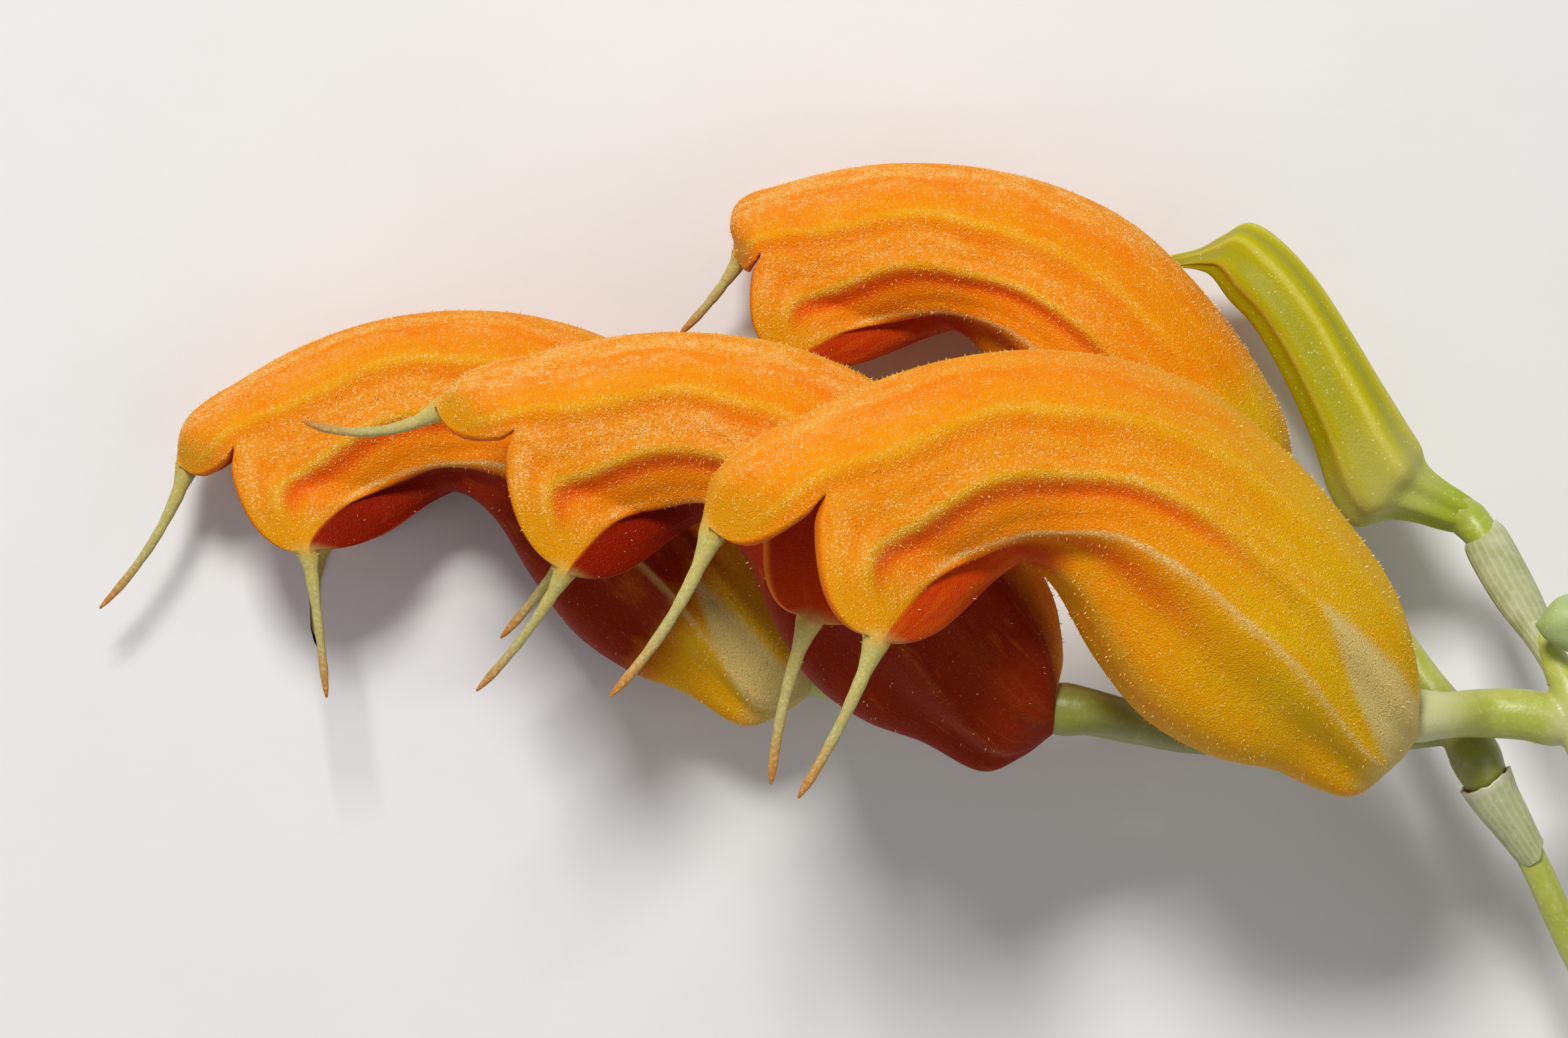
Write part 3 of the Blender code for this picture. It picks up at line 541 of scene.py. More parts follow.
# How each bloom's skin differs: frost on its back and bands, dark red of its belly, partly its own red and partly
# painted shade, and the reach from which it is red, how far that red climbs its side near the base, dark red of its
# foot, also partly painted shade, the place and reach of the pale patch by its joint, and how far its base is
# golden.
Look = namedtuple("Look", "back_frost band_frost red_belly belly_from belly_rise red_foot patch_place patch_reach "
                          "gold_reach")
LOOKS = {"bloom_front": Look(0.05, 0.14, 0.0, 0.5, 0.0, 0.0, 1.28, 0.24, 0.55),
         "bloom_middle": Look(0.3, 0.75, 1.0, 0.02, 0.2, 1.0, 0.5, 0.03, 0.2),
         "bloom_left": Look(0.2, 0.5, 0.95, 0.13, 0.85, 0.0, 1.62, 0.22, 0.12),
         "bloom_upper": Look(0.55, 0.45, 0.3, 0.3, 0.0, 0.0, 1.4, 0.1, 0.1)}


# Humps of colour round the tube: place, width and strength. The lobes' own vein and groove follow their ribs.
# These and the shares of reach below were fitted to the photo.
VEINS, LOBE_VEIN = ((0.0, 0.07, 0.4), (0.82, 0.05, 0.75), (2.65, 0.1, 0.4)), (1.38, 0.045, 1.0)
GROOVES = ((0.45, 0.14, 0.3), (0.96, 0.07, 0.25), (1.8, 0.2, 0.3), (2.2, 0.12, 0.8))
LOBE_GROOVE = (1.54, 0.09, 1.05)
HOOD_BAND, LOBE_BAND, BACK = (0.3, 0.22, 1.0), (1.12, 0.16, 1.0), (0.05, 0.3, 1.0)
KEEL_PLACE, KEEL_WIDTH = 2.0, 0.036


def humps(value, *shapes):
    """Sum of soft humps."""
    return sum(strength * bump_at(value, place, width) for place, width, strength in shapes)


def base_marks(look, p, reach):
    """Near the joint: how deep red, partly as painted shade, and how pale and golden the tube is."""
    belly_edge = 2.05 - look.belly_rise * (1 - ease((reach - 0.25) / 0.2))
    belly = look.red_belly * ease((p - belly_edge) / 0.14) * ease((reach - look.belly_from) / 0.1)
    foot = look.red_foot * ease((p - 0.2) / 0.6) * (1 - ease((reach - 0.2) / 0.2))
    towards_joint = np.clip(1 - reach / look.patch_reach, 0, 1)
    patch = ease((0.62 * towards_joint - np.abs(p - look.patch_place - 0.3 * towards_joint)) / 0.24 + 0.25)
    patch = patch * ease(towards_joint / 0.15) * (1 - 0.5 * look.red_foot)
    collar_reach = 0.04 + 0.05 * np.clip(p - 1, 0, 1)
    collar = 0.9 * (1 - ease((reach - 0.015) / collar_reach)) * (1 - 0.9 * look.red_foot)
    gold = 1 - ease((reach - 0.12) / look.gold_reach)
    gold = gold * (1 - 0.35 * ease((p - 2.1) / 0.5)) * (1 - 0.8 * look.red_foot)
    return np.clip(np.maximum(belly, foot), 0, 1), np.maximum(patch, collar), gold


def skin_colour_marks(skin, bloom):
    """Where the skin is yellow over a vein, flushed red in a groove, deep red with painted shade, whitish, golden or
    frosted.
    """
    p, free, tail, inside = (skin.mark(name) for name in ("place", "free", "tail", "inside"))
    reach = np.interp(skin.mark("station"), np.arange(12), np.array(DORSAL_LINE)[:, 0]) / DORSAL_LINE[-1][0]
    look = LOOKS[bloom.name]
    outside, lobe_tip, front = 1 - ease(inside / 0.5), ease((free - 0.12) / 0.55), ease((reach - 0.2) / 0.35)
    beyond = beyond_mouth(skin.mark("station"), p, free)
    rib, left_of_rib = rib_place(p, beyond), rib_fade(beyond)
    ridge = np.clip(humps(p, *VEINS) + humps(rib, LOBE_VEIN), 0, 1) * (0.25 + 0.75 * front) * left_of_rib
    flush = np.clip(humps(p, *GROOVES) + humps(rib, LOBE_GROOVE), 0, 1) * front * left_of_rib
    # The cleft under the keel and the lobes' undersides get the inner red: partly their own red, partly painted
    # shade where they face down.
    cleft_root = ease((reach - 0.56) / 0.1) * ease((p - 2.25) / 0.25)
    cleft = ease((p - 2.06) / 0.12) * np.maximum(cleft_root, ease(free / 0.1))
    keel = bump_at(p, KEEL_PLACE, KEEL_WIDTH) * ease((reach - 0.02) / 0.05) * (1 - ease(free / 0.5))
    # The deep mark is the skin's own dark red, darkened further as painted shade where other blooms shadow it.
    deep, pale, gold = base_marks(look, p, reach)
    pale = np.maximum(0.6 * keel * (1 - look.red_foot), pale)
    bands = (humps(p, HOOD_BAND) + humps(p, LOBE_BAND) * (1 - lobe_tip)) * ease((reach - 0.3) / 0.3)
    # Frost marks the frosted papillae, where the painted sheen and painted glints gather.
    frost = (0.03 + look.band_frost * bands + look.back_frost * humps(p, BACK)
             + 0.5 * bump_at(p, 0.3, 0.3) * ease((reach - 0.75) / 0.2) * (1 - lobe_tip)
             + 0.45 * bump_at(p, 1.3, 0.3) * bump_at(free, 0.2, 0.25)
             + 0.55 * bump_at(p, 1.85, 0.15) * bump_at(free, 0.45, 0.25) + 0.35 * ridge + 0.9 * keel)
    frost = np.clip(frost, 0, 1)
    hairy = outside * ease((reach - 0.02) / 0.05) * (1 - ease(tail / 0.12))
    hairy = hairy * (0.35 + 0.65 * np.clip(1.8 * frost, 0, 1)) * (1 - 0.85 * np.maximum(deep, cleft))
    return {"ridge": ridge * outside * (1 - tail), "flush": flush * outside,
            "deep": deep * outside * (1 - ease(tail / 0.1)),
            "inside": np.maximum(inside, 0.85 * cleft) * (1 - ease(tail / 0.05)),
            "pale": np.clip(pale, 0, 1) * outside, "gold": gold * outside, "tip": lobe_tip * outside,
            "frost": frost * outside * (1 - 0.7 * deep), "hairy": hairy,
            "tail": np.where(tail > 0, 0.06 + 0.94 * tail, ease((free - 0.84) / 0.16) * 0.06),
            "length": (reach * DORSAL_LINE[-1][0] + 4.0 * free + 6.0 * tail) * MM, "width": p * 3.4 * MM}


def turn_faces_out(mesh):
    """Turns a mesh's faces outward."""
    bm = bmesh.new()
    bm.from_mesh(mesh)
    bmesh.ops.recalc_face_normals(bm, faces=bm.faces)
    bm.to_mesh(mesh)
    bm.free()


def closed_mesh(name, points, faces):
    """Mesh with its faces outward, from points in metres and faces of three or four points."""
    mesh = bpy.data.meshes.new(name)
    mesh.from_pydata(points.tolist(), [], [[v for v in face if v >= 0] for face in faces.tolist()])
    turn_faces_out(mesh)
    mesh.shade_smooth()
    return mesh


def mark_mesh(mesh, marks):
    """Writes marks on the mesh's vertices, for its material."""
    for name, values in marks.items():
        made = mesh.attributes.new(name, "FLOAT", "POINT")
        made.data.foreach_set("value", np.ascontiguousarray(values, dtype=np.float32))


def show_piece(name, mesh, material, slot_name, *nodes):
    """Object at the origin that rides on the spray, with its material, hiding the solids that it stands for. Its
    slot name is not used.
    """
    if material:
        mesh.materials.append(material)
    piece = bpy.data.objects.new(name, mesh)
    bpy.context.collection.objects.link(piece)
    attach(piece, "root")
    if nodes:
        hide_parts(*nodes)
    return piece


def stretch_range(tree, value, low, high, to_low=0.0, to_high=1.0):
    """Value from one range clamped to another."""
    node = add_node(tree, "ShaderNodeMapRange", {"clamp": True}, Value=value)
    for index, number in zip((1, 2, 3, 4), (low, high, to_low, to_high)):
        node.inputs[index].default_value = number
    return node.outputs[0]


def times(tree, first, second, operation="MULTIPLY"):
    """Two numbers or sockets multiplied, or joined by another operation."""
    return add_node(tree, "ShaderNodeMath", {"operation": operation}, _0=first, _1=second).outputs[0]


def soft_flesh(shader, weight, radius, depth_mm):
    """Light that goes into a piece and comes out again close by, with its reach for red, green and blue."""
    shader.inputs["Subsurface Weight"].default_value = weight
    shader.inputs["Subsurface Radius"].default_value = radius
    shader.inputs["Subsurface Scale"].default_value = depth_mm * MM


def read_marks(tree, *names):
    """Sockets that read a mesh's marks, by their names."""
    return [add_node(tree, "ShaderNodeAttribute", {"attribute_name": name}).outputs["Fac"] for name in names]


def lay_over(tree, under, over, value, low, high, weakest=0.0, strongest=1.0):
    """Colour over laid on another as a value rises from low to high."""
    return blend_colour(tree, stretch_range(tree, value, low, high, weakest, strongest), under, over)


SEPAL_COLOURS = {
    "orange": (0.79, 0.228, 0.0), "light orange": (0.81, 0.278, 0.0), "yellow streak": (0.79, 0.31, 0.0),
    "red streak": (0.83, 0.17, 0.0), "gold": (0.70, 0.42, 0.001), "tip": (0.66, 0.29, 0.001),
    "flush": (0.86, 0.115, 0.0), "ridge": (0.74, 0.40, 0.002), "inside": (0.58, 0.034, 0.001),
    # The deep colour is the belly's and foot's dark red with painted shade in it.
    "deep": (0.24, 0.008, 0.0), "pale": (0.64, 0.52, 0.18), "frost_and_sheen": (0.90, 0.40, 0.08), "glint": (1.0, 0.80, 0.40),
    "papilla_shade": (0.60, 0.12, 0.0), "tail": (0.50, 0.42, 0.10), "thin tail": (0.42, 0.36, 0.12),
    "tail tip": (0.50, 0.15, 0.005), "tail fleck": (0.72, 0.66, 0.38)}
SEPAL_MARKS = ("ridge", "flush", "deep", "inside", "pale", "gold", "tip", "frost", "tail", "length", "width")
# Layers of colour, from the lowest: the mark, where it starts and is full, and its strength.
SEPAL_LAYERS = (("gold", 0.0, 1.0, 0.95), ("tip", 0.0, 1.0, 0.8), ("flush", 0.05, 0.95, 0.9),
                ("ridge", 0.1, 0.9, 0.75), ("inside", 0.1, 0.9, 0.95), ("deep", 0.05, 0.9, 0.97),
                ("pale", 0.15, 0.85, 0.92))
PAPILLA_MM = 0.062


def sepal_skin():
    """Fleshy orange skin with yellow veins, red grooves, deep red with painted shade, papillae and frost with
    painted sheen and glints.
    """
    material, tree, shader, where = new_finish("sepal_skin")
    paint = SEPAL_COLOURS
    mark = dict(zip(SEPAL_MARKS, read_marks(tree, *SEPAL_MARKS)))
    clouds, grain = mottle(tree, where, 2.5), mottle(tree, where, 0.4, 4.0, 0.65)
    fine = mottle(tree, where, 0.12, 3.0, 0.7)
    flow = add_node(tree, "ShaderNodeCombineXYZ", X=mark["length"], Y=mark["width"]).outputs[0]
    streaks = mottle(tree, flow, 0.5, 4.0, 0.6, (0.28, 1.0, 1.0))
    colour = blend_colour(tree, stretch_range(tree, clouds, 0.3, 0.7), paint["orange"], paint["light orange"])
    colour = lay_over(tree, colour, paint["yellow streak"], streaks, 0.4, 0.7, 0.0, 0.5)
    colour = lay_over(tree, colour, paint["red streak"], streaks, 0.5, 0.25, 0.0, 0.4)
    for name, low, high, strength in SEPAL_LAYERS:
        uneven = times(tree, mark[name], stretch_range(tree, streaks, 0.25, 0.75, 0.7, 1.3))
        colour = lay_over(tree, colour, paint[name], uneven, low, high, 0.0, strength)
    rich = times(tree, mark["frost"], stretch_range(tree, streaks, 0.36, 0.62, 0.15, 1.1))
    # The frosted papillae are painted paler: partly their own whitish colour, partly a painted sheen.
    frost_and_sheen = times(tree, rich, stretch_range(tree, grain, 0.35, 0.65, 0.1, 0.75))
    colour = blend_colour(tree, frost_and_sheen, colour, paint["frost_and_sheen"])
    # Some papilla cells are painted as glints, pale dots of painted highlight in the colour, which also shine more.
    cells = add_node(tree, "ShaderNodeTexVoronoi", Vector=where, Scale=1.0 / (PAPILLA_MM * MM), Randomness=1.0)
    lucky = add_node(tree, "ShaderNodeSeparateColor", _0=cells.outputs["Color"]).outputs[0]
    spot = stretch_range(tree, cells.outputs["Distance"], 0.15, 0.5, 1.0, 0.0)
    threshold = stretch_range(tree, rich, 0.0, 0.8, 0.86, 0.40)
    glint = times(tree, stretch_range(tree, times(tree, lucky, threshold, "SUBTRACT"), 0.0, 0.12), spot)
    hidden = times(tree, mark["inside"], mark["deep"], "MAXIMUM")
    glint = times(tree, glint, stretch_range(tree, hidden, 0.0, 0.6, 1.0, 0.12))
    shine = times(tree, glint, stretch_range(tree, rich, 0.0, 0.6, 0.6, 0.95))
    colour = blend_colour(tree, shine, colour, paint["glint"])
    # Painted shade between the papillae: the colour is darkened towards each cell's edge, where the bump sinks.
    papilla_shade = stretch_range(tree, cells.outputs["Distance"], 0.5, 0.85, 0.0, 0.2)
    colour = blend_colour(tree, papilla_shade, colour, paint["papilla_shade"], "MULTIPLY")
    tail = blend_colour(tree, stretch_range(tree, mark["tail"], 0.1, 0.55), paint["tail"], paint["thin tail"])
    tail = lay_over(tree, tail, paint["tail tip"], mark["tail"], 0.62, 1.0)
    tail = lay_over(tree, tail, paint["tail fleck"], fine, 0.45, 0.7, 0.0, 0.45)
    colour = lay_over(tree, colour, tail, mark["tail"], 0.0, 0.12)
    tree.links.new(colour, shader.inputs["Base Color"])
    tree.links.new(stretch_range(tree, glint, 0.0, 1.0, 0.55, 0.3), shader.inputs["Roughness"])
    tree.links.new(stretch_range(tree, glint, 0.0, 1.0, 0.06, 0.5), shader.inputs["Specular IOR Level"])
    heights = times(tree, cells.outputs["Distance"], stretch_range(tree, mark["tail"], 0.0, 0.05, -1.0, -0.25))
    normal = relief_bump(tree, heights, 0.03, 0.8, relief_bump(tree, grain, 0.05, 0.5))
    tree.links.new(normal, shader.inputs["Normal"])
    soft_flesh(shader, 0.1, (1.0, 0.25, 0.03), 0.4)
    return material


BOX_MARGIN = 2e-6


def inside_box(points):
    """Points held inside the box of the solids."""
    return np.clip(points, np.array(cad_low) + BOX_MARGIN, np.array(cad_high) - BOX_MARGIN)


skin_finish = sepal_skin()
bloom_pieces = {}
for seed, bloom in enumerate(BLOOMS):
    skin, points = grow_bloom(bloom, seed)
    points = inside_box(set_in_spray(bloom, points))
    mesh = closed_mesh(bloom.name + "_skin", points, np.concatenate(skin.faces))
    mark_mesh(mesh, skin_colour_marks(skin, bloom))
    bloom_pieces[bloom.name] = show_piece(bloom.name + "_skin", mesh, skin_finish, "sepal_orange", bloom.name)


# The short hairs. Glassy spikes stand all over the outside of the sepals, and show along every outline.
# They grow out of the skin, thicker at the foot.
HAIR_LENGTH, HAIR_FOOT, HAIRS_PER_MM2, QUICK_HAIRS_PER_MM2 = 0.13, 0.026, 14.0, 3.0
HAIR_WARM, HAIR_CLEAR = (0.92, 0.46, 0.05), (0.98, 0.68, 0.24)


def hair_tree():
    """Geometry nodes that scatter closed three-sided spikes over a skin, standing on it with a small lean."""
    tree = bpy.data.node_groups.new("short_glassy_hairs", "GeometryNodeTree")
    sockets = {}
    for name, kind in (("Skin", "NodeSocketGeometry"), ("Hairs per square metre", "NodeSocketFloat"),
                       ("Hair length", "NodeSocketFloat"), ("Hair foot", "NodeSocketFloat"),
                       ("Seed", "NodeSocketInt"), ("Finish", "NodeSocketMaterial")):
        sockets[name] = tree.interface.new_socket(name, in_out="INPUT", socket_type=kind).identifier
    tree.interface.new_socket("Hairs", in_out="OUTPUT", socket_type="NodeSocketGeometry")
    given = tree.nodes.new("NodeGroupInput").outputs
    hairy = add_node(tree, "GeometryNodeInputNamedAttribute", {"data_type": "FLOAT"}, Name="hairy")
    density = add_node(tree, "ShaderNodeMath", {"operation": "MULTIPLY"}, _0=hairy.outputs["Attribute"],
                       _1=given["Hairs per square metre"])
    spread = add_node(tree, "GeometryNodeDistributePointsOnFaces", {"distribute_method": "RANDOM"},
                      Mesh=given["Skin"], Density=density.outputs[0], Seed=given["Seed"])
    spike = add_node(tree, "GeometryNodeMeshCone", {"fill_type": "NGON"}, Vertices=3, Side_Segments=1,
                     Fill_Segments=1, Radius_Top=0.0, Radius_Bottom=given["Hair foot"], Depth=given["Hair length"])
    lean = add_node(tree, "FunctionNodeRandomValue", {"data_type": "FLOAT_VECTOR"}, Min=(-0.45, -0.45, -0.45),
                    Max=(0.45, 0.45, 0.45), Seed=given["Seed"])
    leaning = add_node(tree, "ShaderNodeVectorMath", {"operation": "ADD"}, _0=spread.outputs["Normal"],
                       _1=lean.outputs["Value"])
    stand = add_node(tree, "FunctionNodeAlignRotationToVector", {"axis": "Z"}, Vector=leaning.outputs[0])
    size = add_node(tree, "FunctionNodeRandomValue", {"data_type": "FLOAT"}, Min=0.45, Max=1.0, Seed=given["Seed"])
    copies = add_node(tree, "GeometryNodeInstanceOnPoints", Points=spread.outputs["Points"],
                      Instance=spike.outputs["Mesh"], Rotation=stand.outputs[0],
                      Scale=size.outputs[1])
    real = add_node(tree, "GeometryNodeRealizeInstances", Geometry=copies.outputs[0])
    painted = add_node(tree, "GeometryNodeSetMaterial", Geometry=real.outputs[0], Material=given["Finish"])
    tree.links.new(painted.outputs[0], tree.nodes.new("NodeGroupOutput").inputs[0])
    return tree, sockets


def hair_glass():
    """Clear pale hairs, warm in soft patches where the skin shines through and clearer in others."""
    material, tree, shader, where = new_finish("hair_glass")
    colour = blend_colour(tree, stretch_range(tree, mottle(tree, where, 0.8), 0.35, 0.65), HAIR_WARM, HAIR_CLEAR)
    tree.links.new(colour, shader.inputs["Base Color"])
    tree.links.new(stretch_range(tree, mottle(tree, where, 0.3), 0.3, 0.7, 0.2, 0.4), shader.inputs["Roughness"])
    shader.inputs["Subsurface Weight"].default_value = 0.3
    shader.inputs["Subsurface Scale"].default_value = 0.2 * MM
    return material


def mesh_points(mesh):
    """Points of a mesh."""
    points = np.empty(len(mesh.vertices) * 3, np.float32)
    mesh.vertices.foreach_get("co", points)
    return points.reshape(-1, 3)


def move_points(mesh, points):
    """Puts a mesh's points in new places, held inside the box of the solids."""
    mesh.vertices.foreach_set("co", inside_box(points).astype(np.float32).ravel())
    mesh.update()


def grow_hairs(host, name, tree, sockets, finish, seed, slot_name, per_mm2, length, foot):
    """Hairs on one skin, as a plain mesh piece."""
    grower = host.modifiers.new("hairs", "NODES")
    grower.node_group = tree
    grower[sockets["Hairs per square metre"]] = per_mm2 / (MM * MM)
    grower[sockets["Hair length"]] = length * MM
    grower[sockets["Hair foot"]] = foot * MM
    grower[sockets["Seed"]] = seed
    grower[sockets["Finish"]] = finish
    mesh = bpy.data.meshes.new_from_object(host.evaluated_get(bpy.context.evaluated_depsgraph_get()))
    skin_marks = [mark.name for mark in host.data.attributes if mark.name in mesh.attributes
                  and mark.data_type == "FLOAT"]
    host.modifiers.remove(grower)
    mesh.name = name
    for mark in skin_marks:
        mesh.attributes.remove(mesh.attributes[mark])
    move_points(mesh, mesh_points(mesh))
    return show_piece(name, mesh, None, slot_name)


hairs, hair_sockets = hair_tree()
hair_finish = hair_glass()
for seed, (name, host) in enumerate(bloom_pieces.items()):
    grow_hairs(host, name + "_hairs", hairs, hair_sockets, hair_finish, seed + 11, "sepal_orange",
               HAIRS_PER_MM2, HAIR_LENGTH, HAIR_FOOT)


# The stalks. Juicy green stems, round in section, that carry the blooms on short pedicels. Each fork is one growth,
# with no seam, and each pedicel swells where it meets its bloom, turning whitish there for the front, left and upper
# blooms.
STALK_LOWER_LINE = (
    (31.99, -24.08, 0.5, 0.56), (29.71, -19.85, 2.8, 0.58), (27.89, -16.86, 4.4, 0.55), (26.45, -14.3, 5.6, 0.52),
    (24.98, -11.25, 6.4, 0.5), (23.9, -9.6, 6.75, 0.52), (23.25, -8.25, 6.85, 0.62))
STALK_SECOND_LINE = (
    (29.75, -19.9, 2.8, 0.4), (29.44, -17.29, 4.6, 0.55), (28.7, -13.64, 6.5, 0.56), (27.64, -10.25, 8.1, 0.58),
    (26.75, -7.9, 8.9, 0.68), (26.3, -6.6, 9.1, 0.72), (25.98, -5.55, 9.0, 0.6), (25.25, -4.0, 8.15, 0.42),
    (24.5, -2.6, 7.1, 0.42), (23.75, -1.1, 5.85, 0.5), (23.35, -0.4, 5.3, 0.62), (23.0, 0.0, 5.1, 0.67),
    (22.5, 0.3, 5.2, 0.6))
FRONT_PEDICEL_LINE = (
    (26.4, -6.95, 9.05, 0.5), (25.6, -6.75, 8.95, 0.82), (24.69, -6.51, 8.9, 0.86), (23.2, -6.45, 8.95, 0.82))
STALK_UPPER_LINE = (
    (23.55, -8.85, 6.8, 0.72), (23.3, -8.35, 6.85, 0.84), (23.12, -7.95, 6.85, 0.88), (22.75, -7.2, 6.6, 0.8),
    (21.6, -5.57, 5.8, 0.62), (20.48, -3.91, 5.0, 0.58), (19.5, -2.4, 4.2, 0.58), (18.9, -0.9, 3.6, 0.6))
MIDDLE_PEDICEL_LINE = (
    (22.5, -7.1, 6.5, 0.45), (19.44, -7.34, 6.0, 0.55), (15.88, -7.34, 6.4, 0.6), (13.39, -7.16, 7.4, 0.66),
    (11.8, -6.8, 8.5, 0.7))
LEFT_PEDICEL_LINE = (
    (16.1, -7.34, 6.3, 0.45), (12.6, -7.15, 5.2, 0.55), (9.73, -6.7, 4.6, 0.55), (6.5, -6.5, 4.1, 0.6),
    (4.0, -6.2, 3.7, 0.62))
# Where a pedicel ends in its bloom: mm back from the bloom's base, and half thickness.
PEDICEL_END = ((1.3, 0.78), (0.4, 0.9), (-0.25, 0.82))
STEM_STEPS, STEM_SIDES, STEM_GRAIN = 8, 20, 0.075
# Spots in mm with their reach: a pale fork, olive stretches of painted shade and a bright neck under the bud.
PALE_FORK, BRIGHT_NECK = (26.0, -6.7, 9.0, 1.3), (23.4, -0.6, 5.3, 1.6)
LOWER_JOINT_REACH, UPPER_JOINT_REACH = 2.2, 2.4
OLIVE_PAINTED_SHADE_LOWER = ((24.2, -10.2, 6.6, 1.6), (23.3, -8.4, 6.85, 1.3))
OLIVE_PAINTED_SHADE_UPPER = ((22.9, -7.6, 6.7, 2.8), (10.4, -6.7, 9.0, 3.2), (13.0, -7.1, 7.6, 4.0))


def pedicel_line(line, bloom):
    """Line of a pedicel that goes on into the base of its bloom, square to it."""
    turn = bloom_turn(bloom)
    ends = []
    for back, radius in PEDICEL_END:
        start = np.append(np.array(BASE_POINT) + np.array(BASE_FACING) * back, 0.0)
        point = turn @ bend_and_stretch(bloom, start) + np.array(bloom.joint)
        ends.append((*point, radius))
    return line + tuple(ends)


def smooth_line(points, steps):
    """Points of a smooth curve through unevenly spaced points, and the points between them."""
    points = [np.asarray(point, float) for point in points]
    points = [2 * points[0] - points[1]] + points + [2 * points[-1] - points[-2]]
    line = []
    for p0, p1, p2, p3 in zip(points, points[1:], points[2:], points[3:]):
        span, before, after = (np.linalg.norm(b - a) for a, b in ((p1, p2), (p0, p1), (p2, p3)))
        start, end = (p2 - p0) * span / (before + span), (p3 - p1) * span / (span + after)
        line += [hermite(p1, start, p2, end, i / steps) for i in range(steps)]
    return np.array(line + [points[-2]])


def round_rings(stations, sides=STEM_SIDES):
    """Rings of points round a line of (x, y, z, half thickness) in mm."""
    flow = np.gradient(stations[:, :3], axis=0)
    flow /= np.linalg.norm(flow, axis=1, keepdims=True)
    across = np.cross(flow, (0, 0, 1))
    across /= np.linalg.norm(across, axis=1, keepdims=True)
    up = np.cross(across, flow)
    turns = 2 * np.pi * np.arange(sides) / sides
    return (stations[:, None, :3] + stations[:, None, 3:] * (np.cos(turns)[None, :, None] * across[:, None]
                                                             + np.sin(turns)[None, :, None] * up[:, None]))


def ring_faces(rows, sides, first=0, ends=True):
    """Faces of a tube of rings, with a flat end on each side."""
    index = first + np.arange(rows * sides).reshape(rows, sides)
    following = np.roll(index, -1, axis=1)
    faces = np.stack([index[:-1], following[:-1], following[1:], index[1:]], -1).reshape(-1, 4).tolist()
    return faces + ([index[0].tolist()[::-1], index[-1].tolist()] if ends else [])


def shaped_by(mesh, *modifiers):
    """Plain mesh that a mesh becomes under modifiers, each given as its kind and its settings."""
    holder = bpy.data.objects.new(mesh.name, mesh)
    bpy.context.collection.objects.link(holder)
    for kind, settings in modifiers:
        modifier = holder.modifiers.new(kind.lower(), kind)
        for key, value in settings.items():
            setattr(modifier, key, value)
    shaped = bpy.data.meshes.new_from_object(holder.evaluated_get(bpy.context.evaluated_depsgraph_get()))
    bpy.data.objects.remove(holder, do_unlink=True)
    return shaped


def grown_stem(name, lines):
    """One closed growth from several stems that fork, in metres, and its points in mm."""
    vertices, faces = [], []
    for line in lines:
        rings = round_rings(smooth_line(line, STEM_STEPS))
        faces += ring_faces(len(rings), rings.shape[1], sum(map(len, vertices)))
        vertices.append(rings.reshape(-1, 3))
    rough = bpy.data.meshes.new(name)
    rough.from_pydata(np.concatenate(vertices).tolist(), [], faces)
    mesh = shaped_by(rough, ("REMESH", {"mode": "VOXEL", "voxel_size": STEM_GRAIN}),
                     ("SMOOTH", {"factor": 0.5, "iterations": 6}))
    points = mesh_points(mesh).astype(float)
    points[:, :2] -= ORIGIN
    move_points(mesh, points * MM)
    mesh.shade_smooth()
    return mesh, points


def near_spots(points, spots):
    """Share from 0 to 1 of how near points are to spots of (x, y, z, reach) in mm of the layout."""
    share = np.zeros(len(points))
    for x, y, z, reach in spots:
        away = np.linalg.norm(points - np.array((x - ORIGIN[0], y - ORIGIN[1], z)), axis=1)
        share = np.maximum(share, 1 - ease((away / reach - 0.35) / 0.65))
    return share


STEM_GREENS, STEM_OLIVE_PAINTED_SHADE = ((0.36, 0.41, 0.05), (0.47, 0.49, 0.10)), (0.22, 0.23, 0.035)
STEM_BRIGHT, STEM_PALE, STEM_FLECK = (0.34, 0.41, 0.03), (0.62, 0.60, 0.33), (0.62, 0.64, 0.26)


def stem_skin():
    """Green stem, streaked along its length, with pale joints and olive stretches of painted shade."""
    material, tree, shader, where = new_finish("stem_skin")
    pale, olive_painted_shade, bright = read_marks(tree, "pale", "olive_painted_shade", "bright")
    clouds, grain = mottle(tree, where, 1.6), mottle(tree, where, 0.25, 4.0, 0.7)
    colour = blend_colour(tree, stretch_range(tree, clouds, 0.3, 0.7), *STEM_GREENS)
    colour = blend_colour(tree, olive_painted_shade, colour, STEM_OLIVE_PAINTED_SHADE)
    colour = blend_colour(tree, bright, colour, STEM_BRIGHT)
    colour = blend_colour(tree, times(tree, pale, 0.75), colour, STEM_PALE)
    flecks = times(tree, stretch_range(tree, grain, 0.52, 0.72, 0.0, 0.5),
                   stretch_range(tree, olive_painted_shade, 0.0, 1.0, 1.0, 0.25))
    colour = blend_colour(tree, flecks, colour, STEM_FLECK)
    tree.links.new(colour, shader.inputs["Base Color"])
    shader.inputs["Roughness"].default_value = 0.36
    tree.links.new(relief_bump(tree, grain, 0.04, 0.6), shader.inputs["Normal"])
    soft_flesh(shader, 0.2, (0.5, 1.0, 0.2), 0.5)
    return material


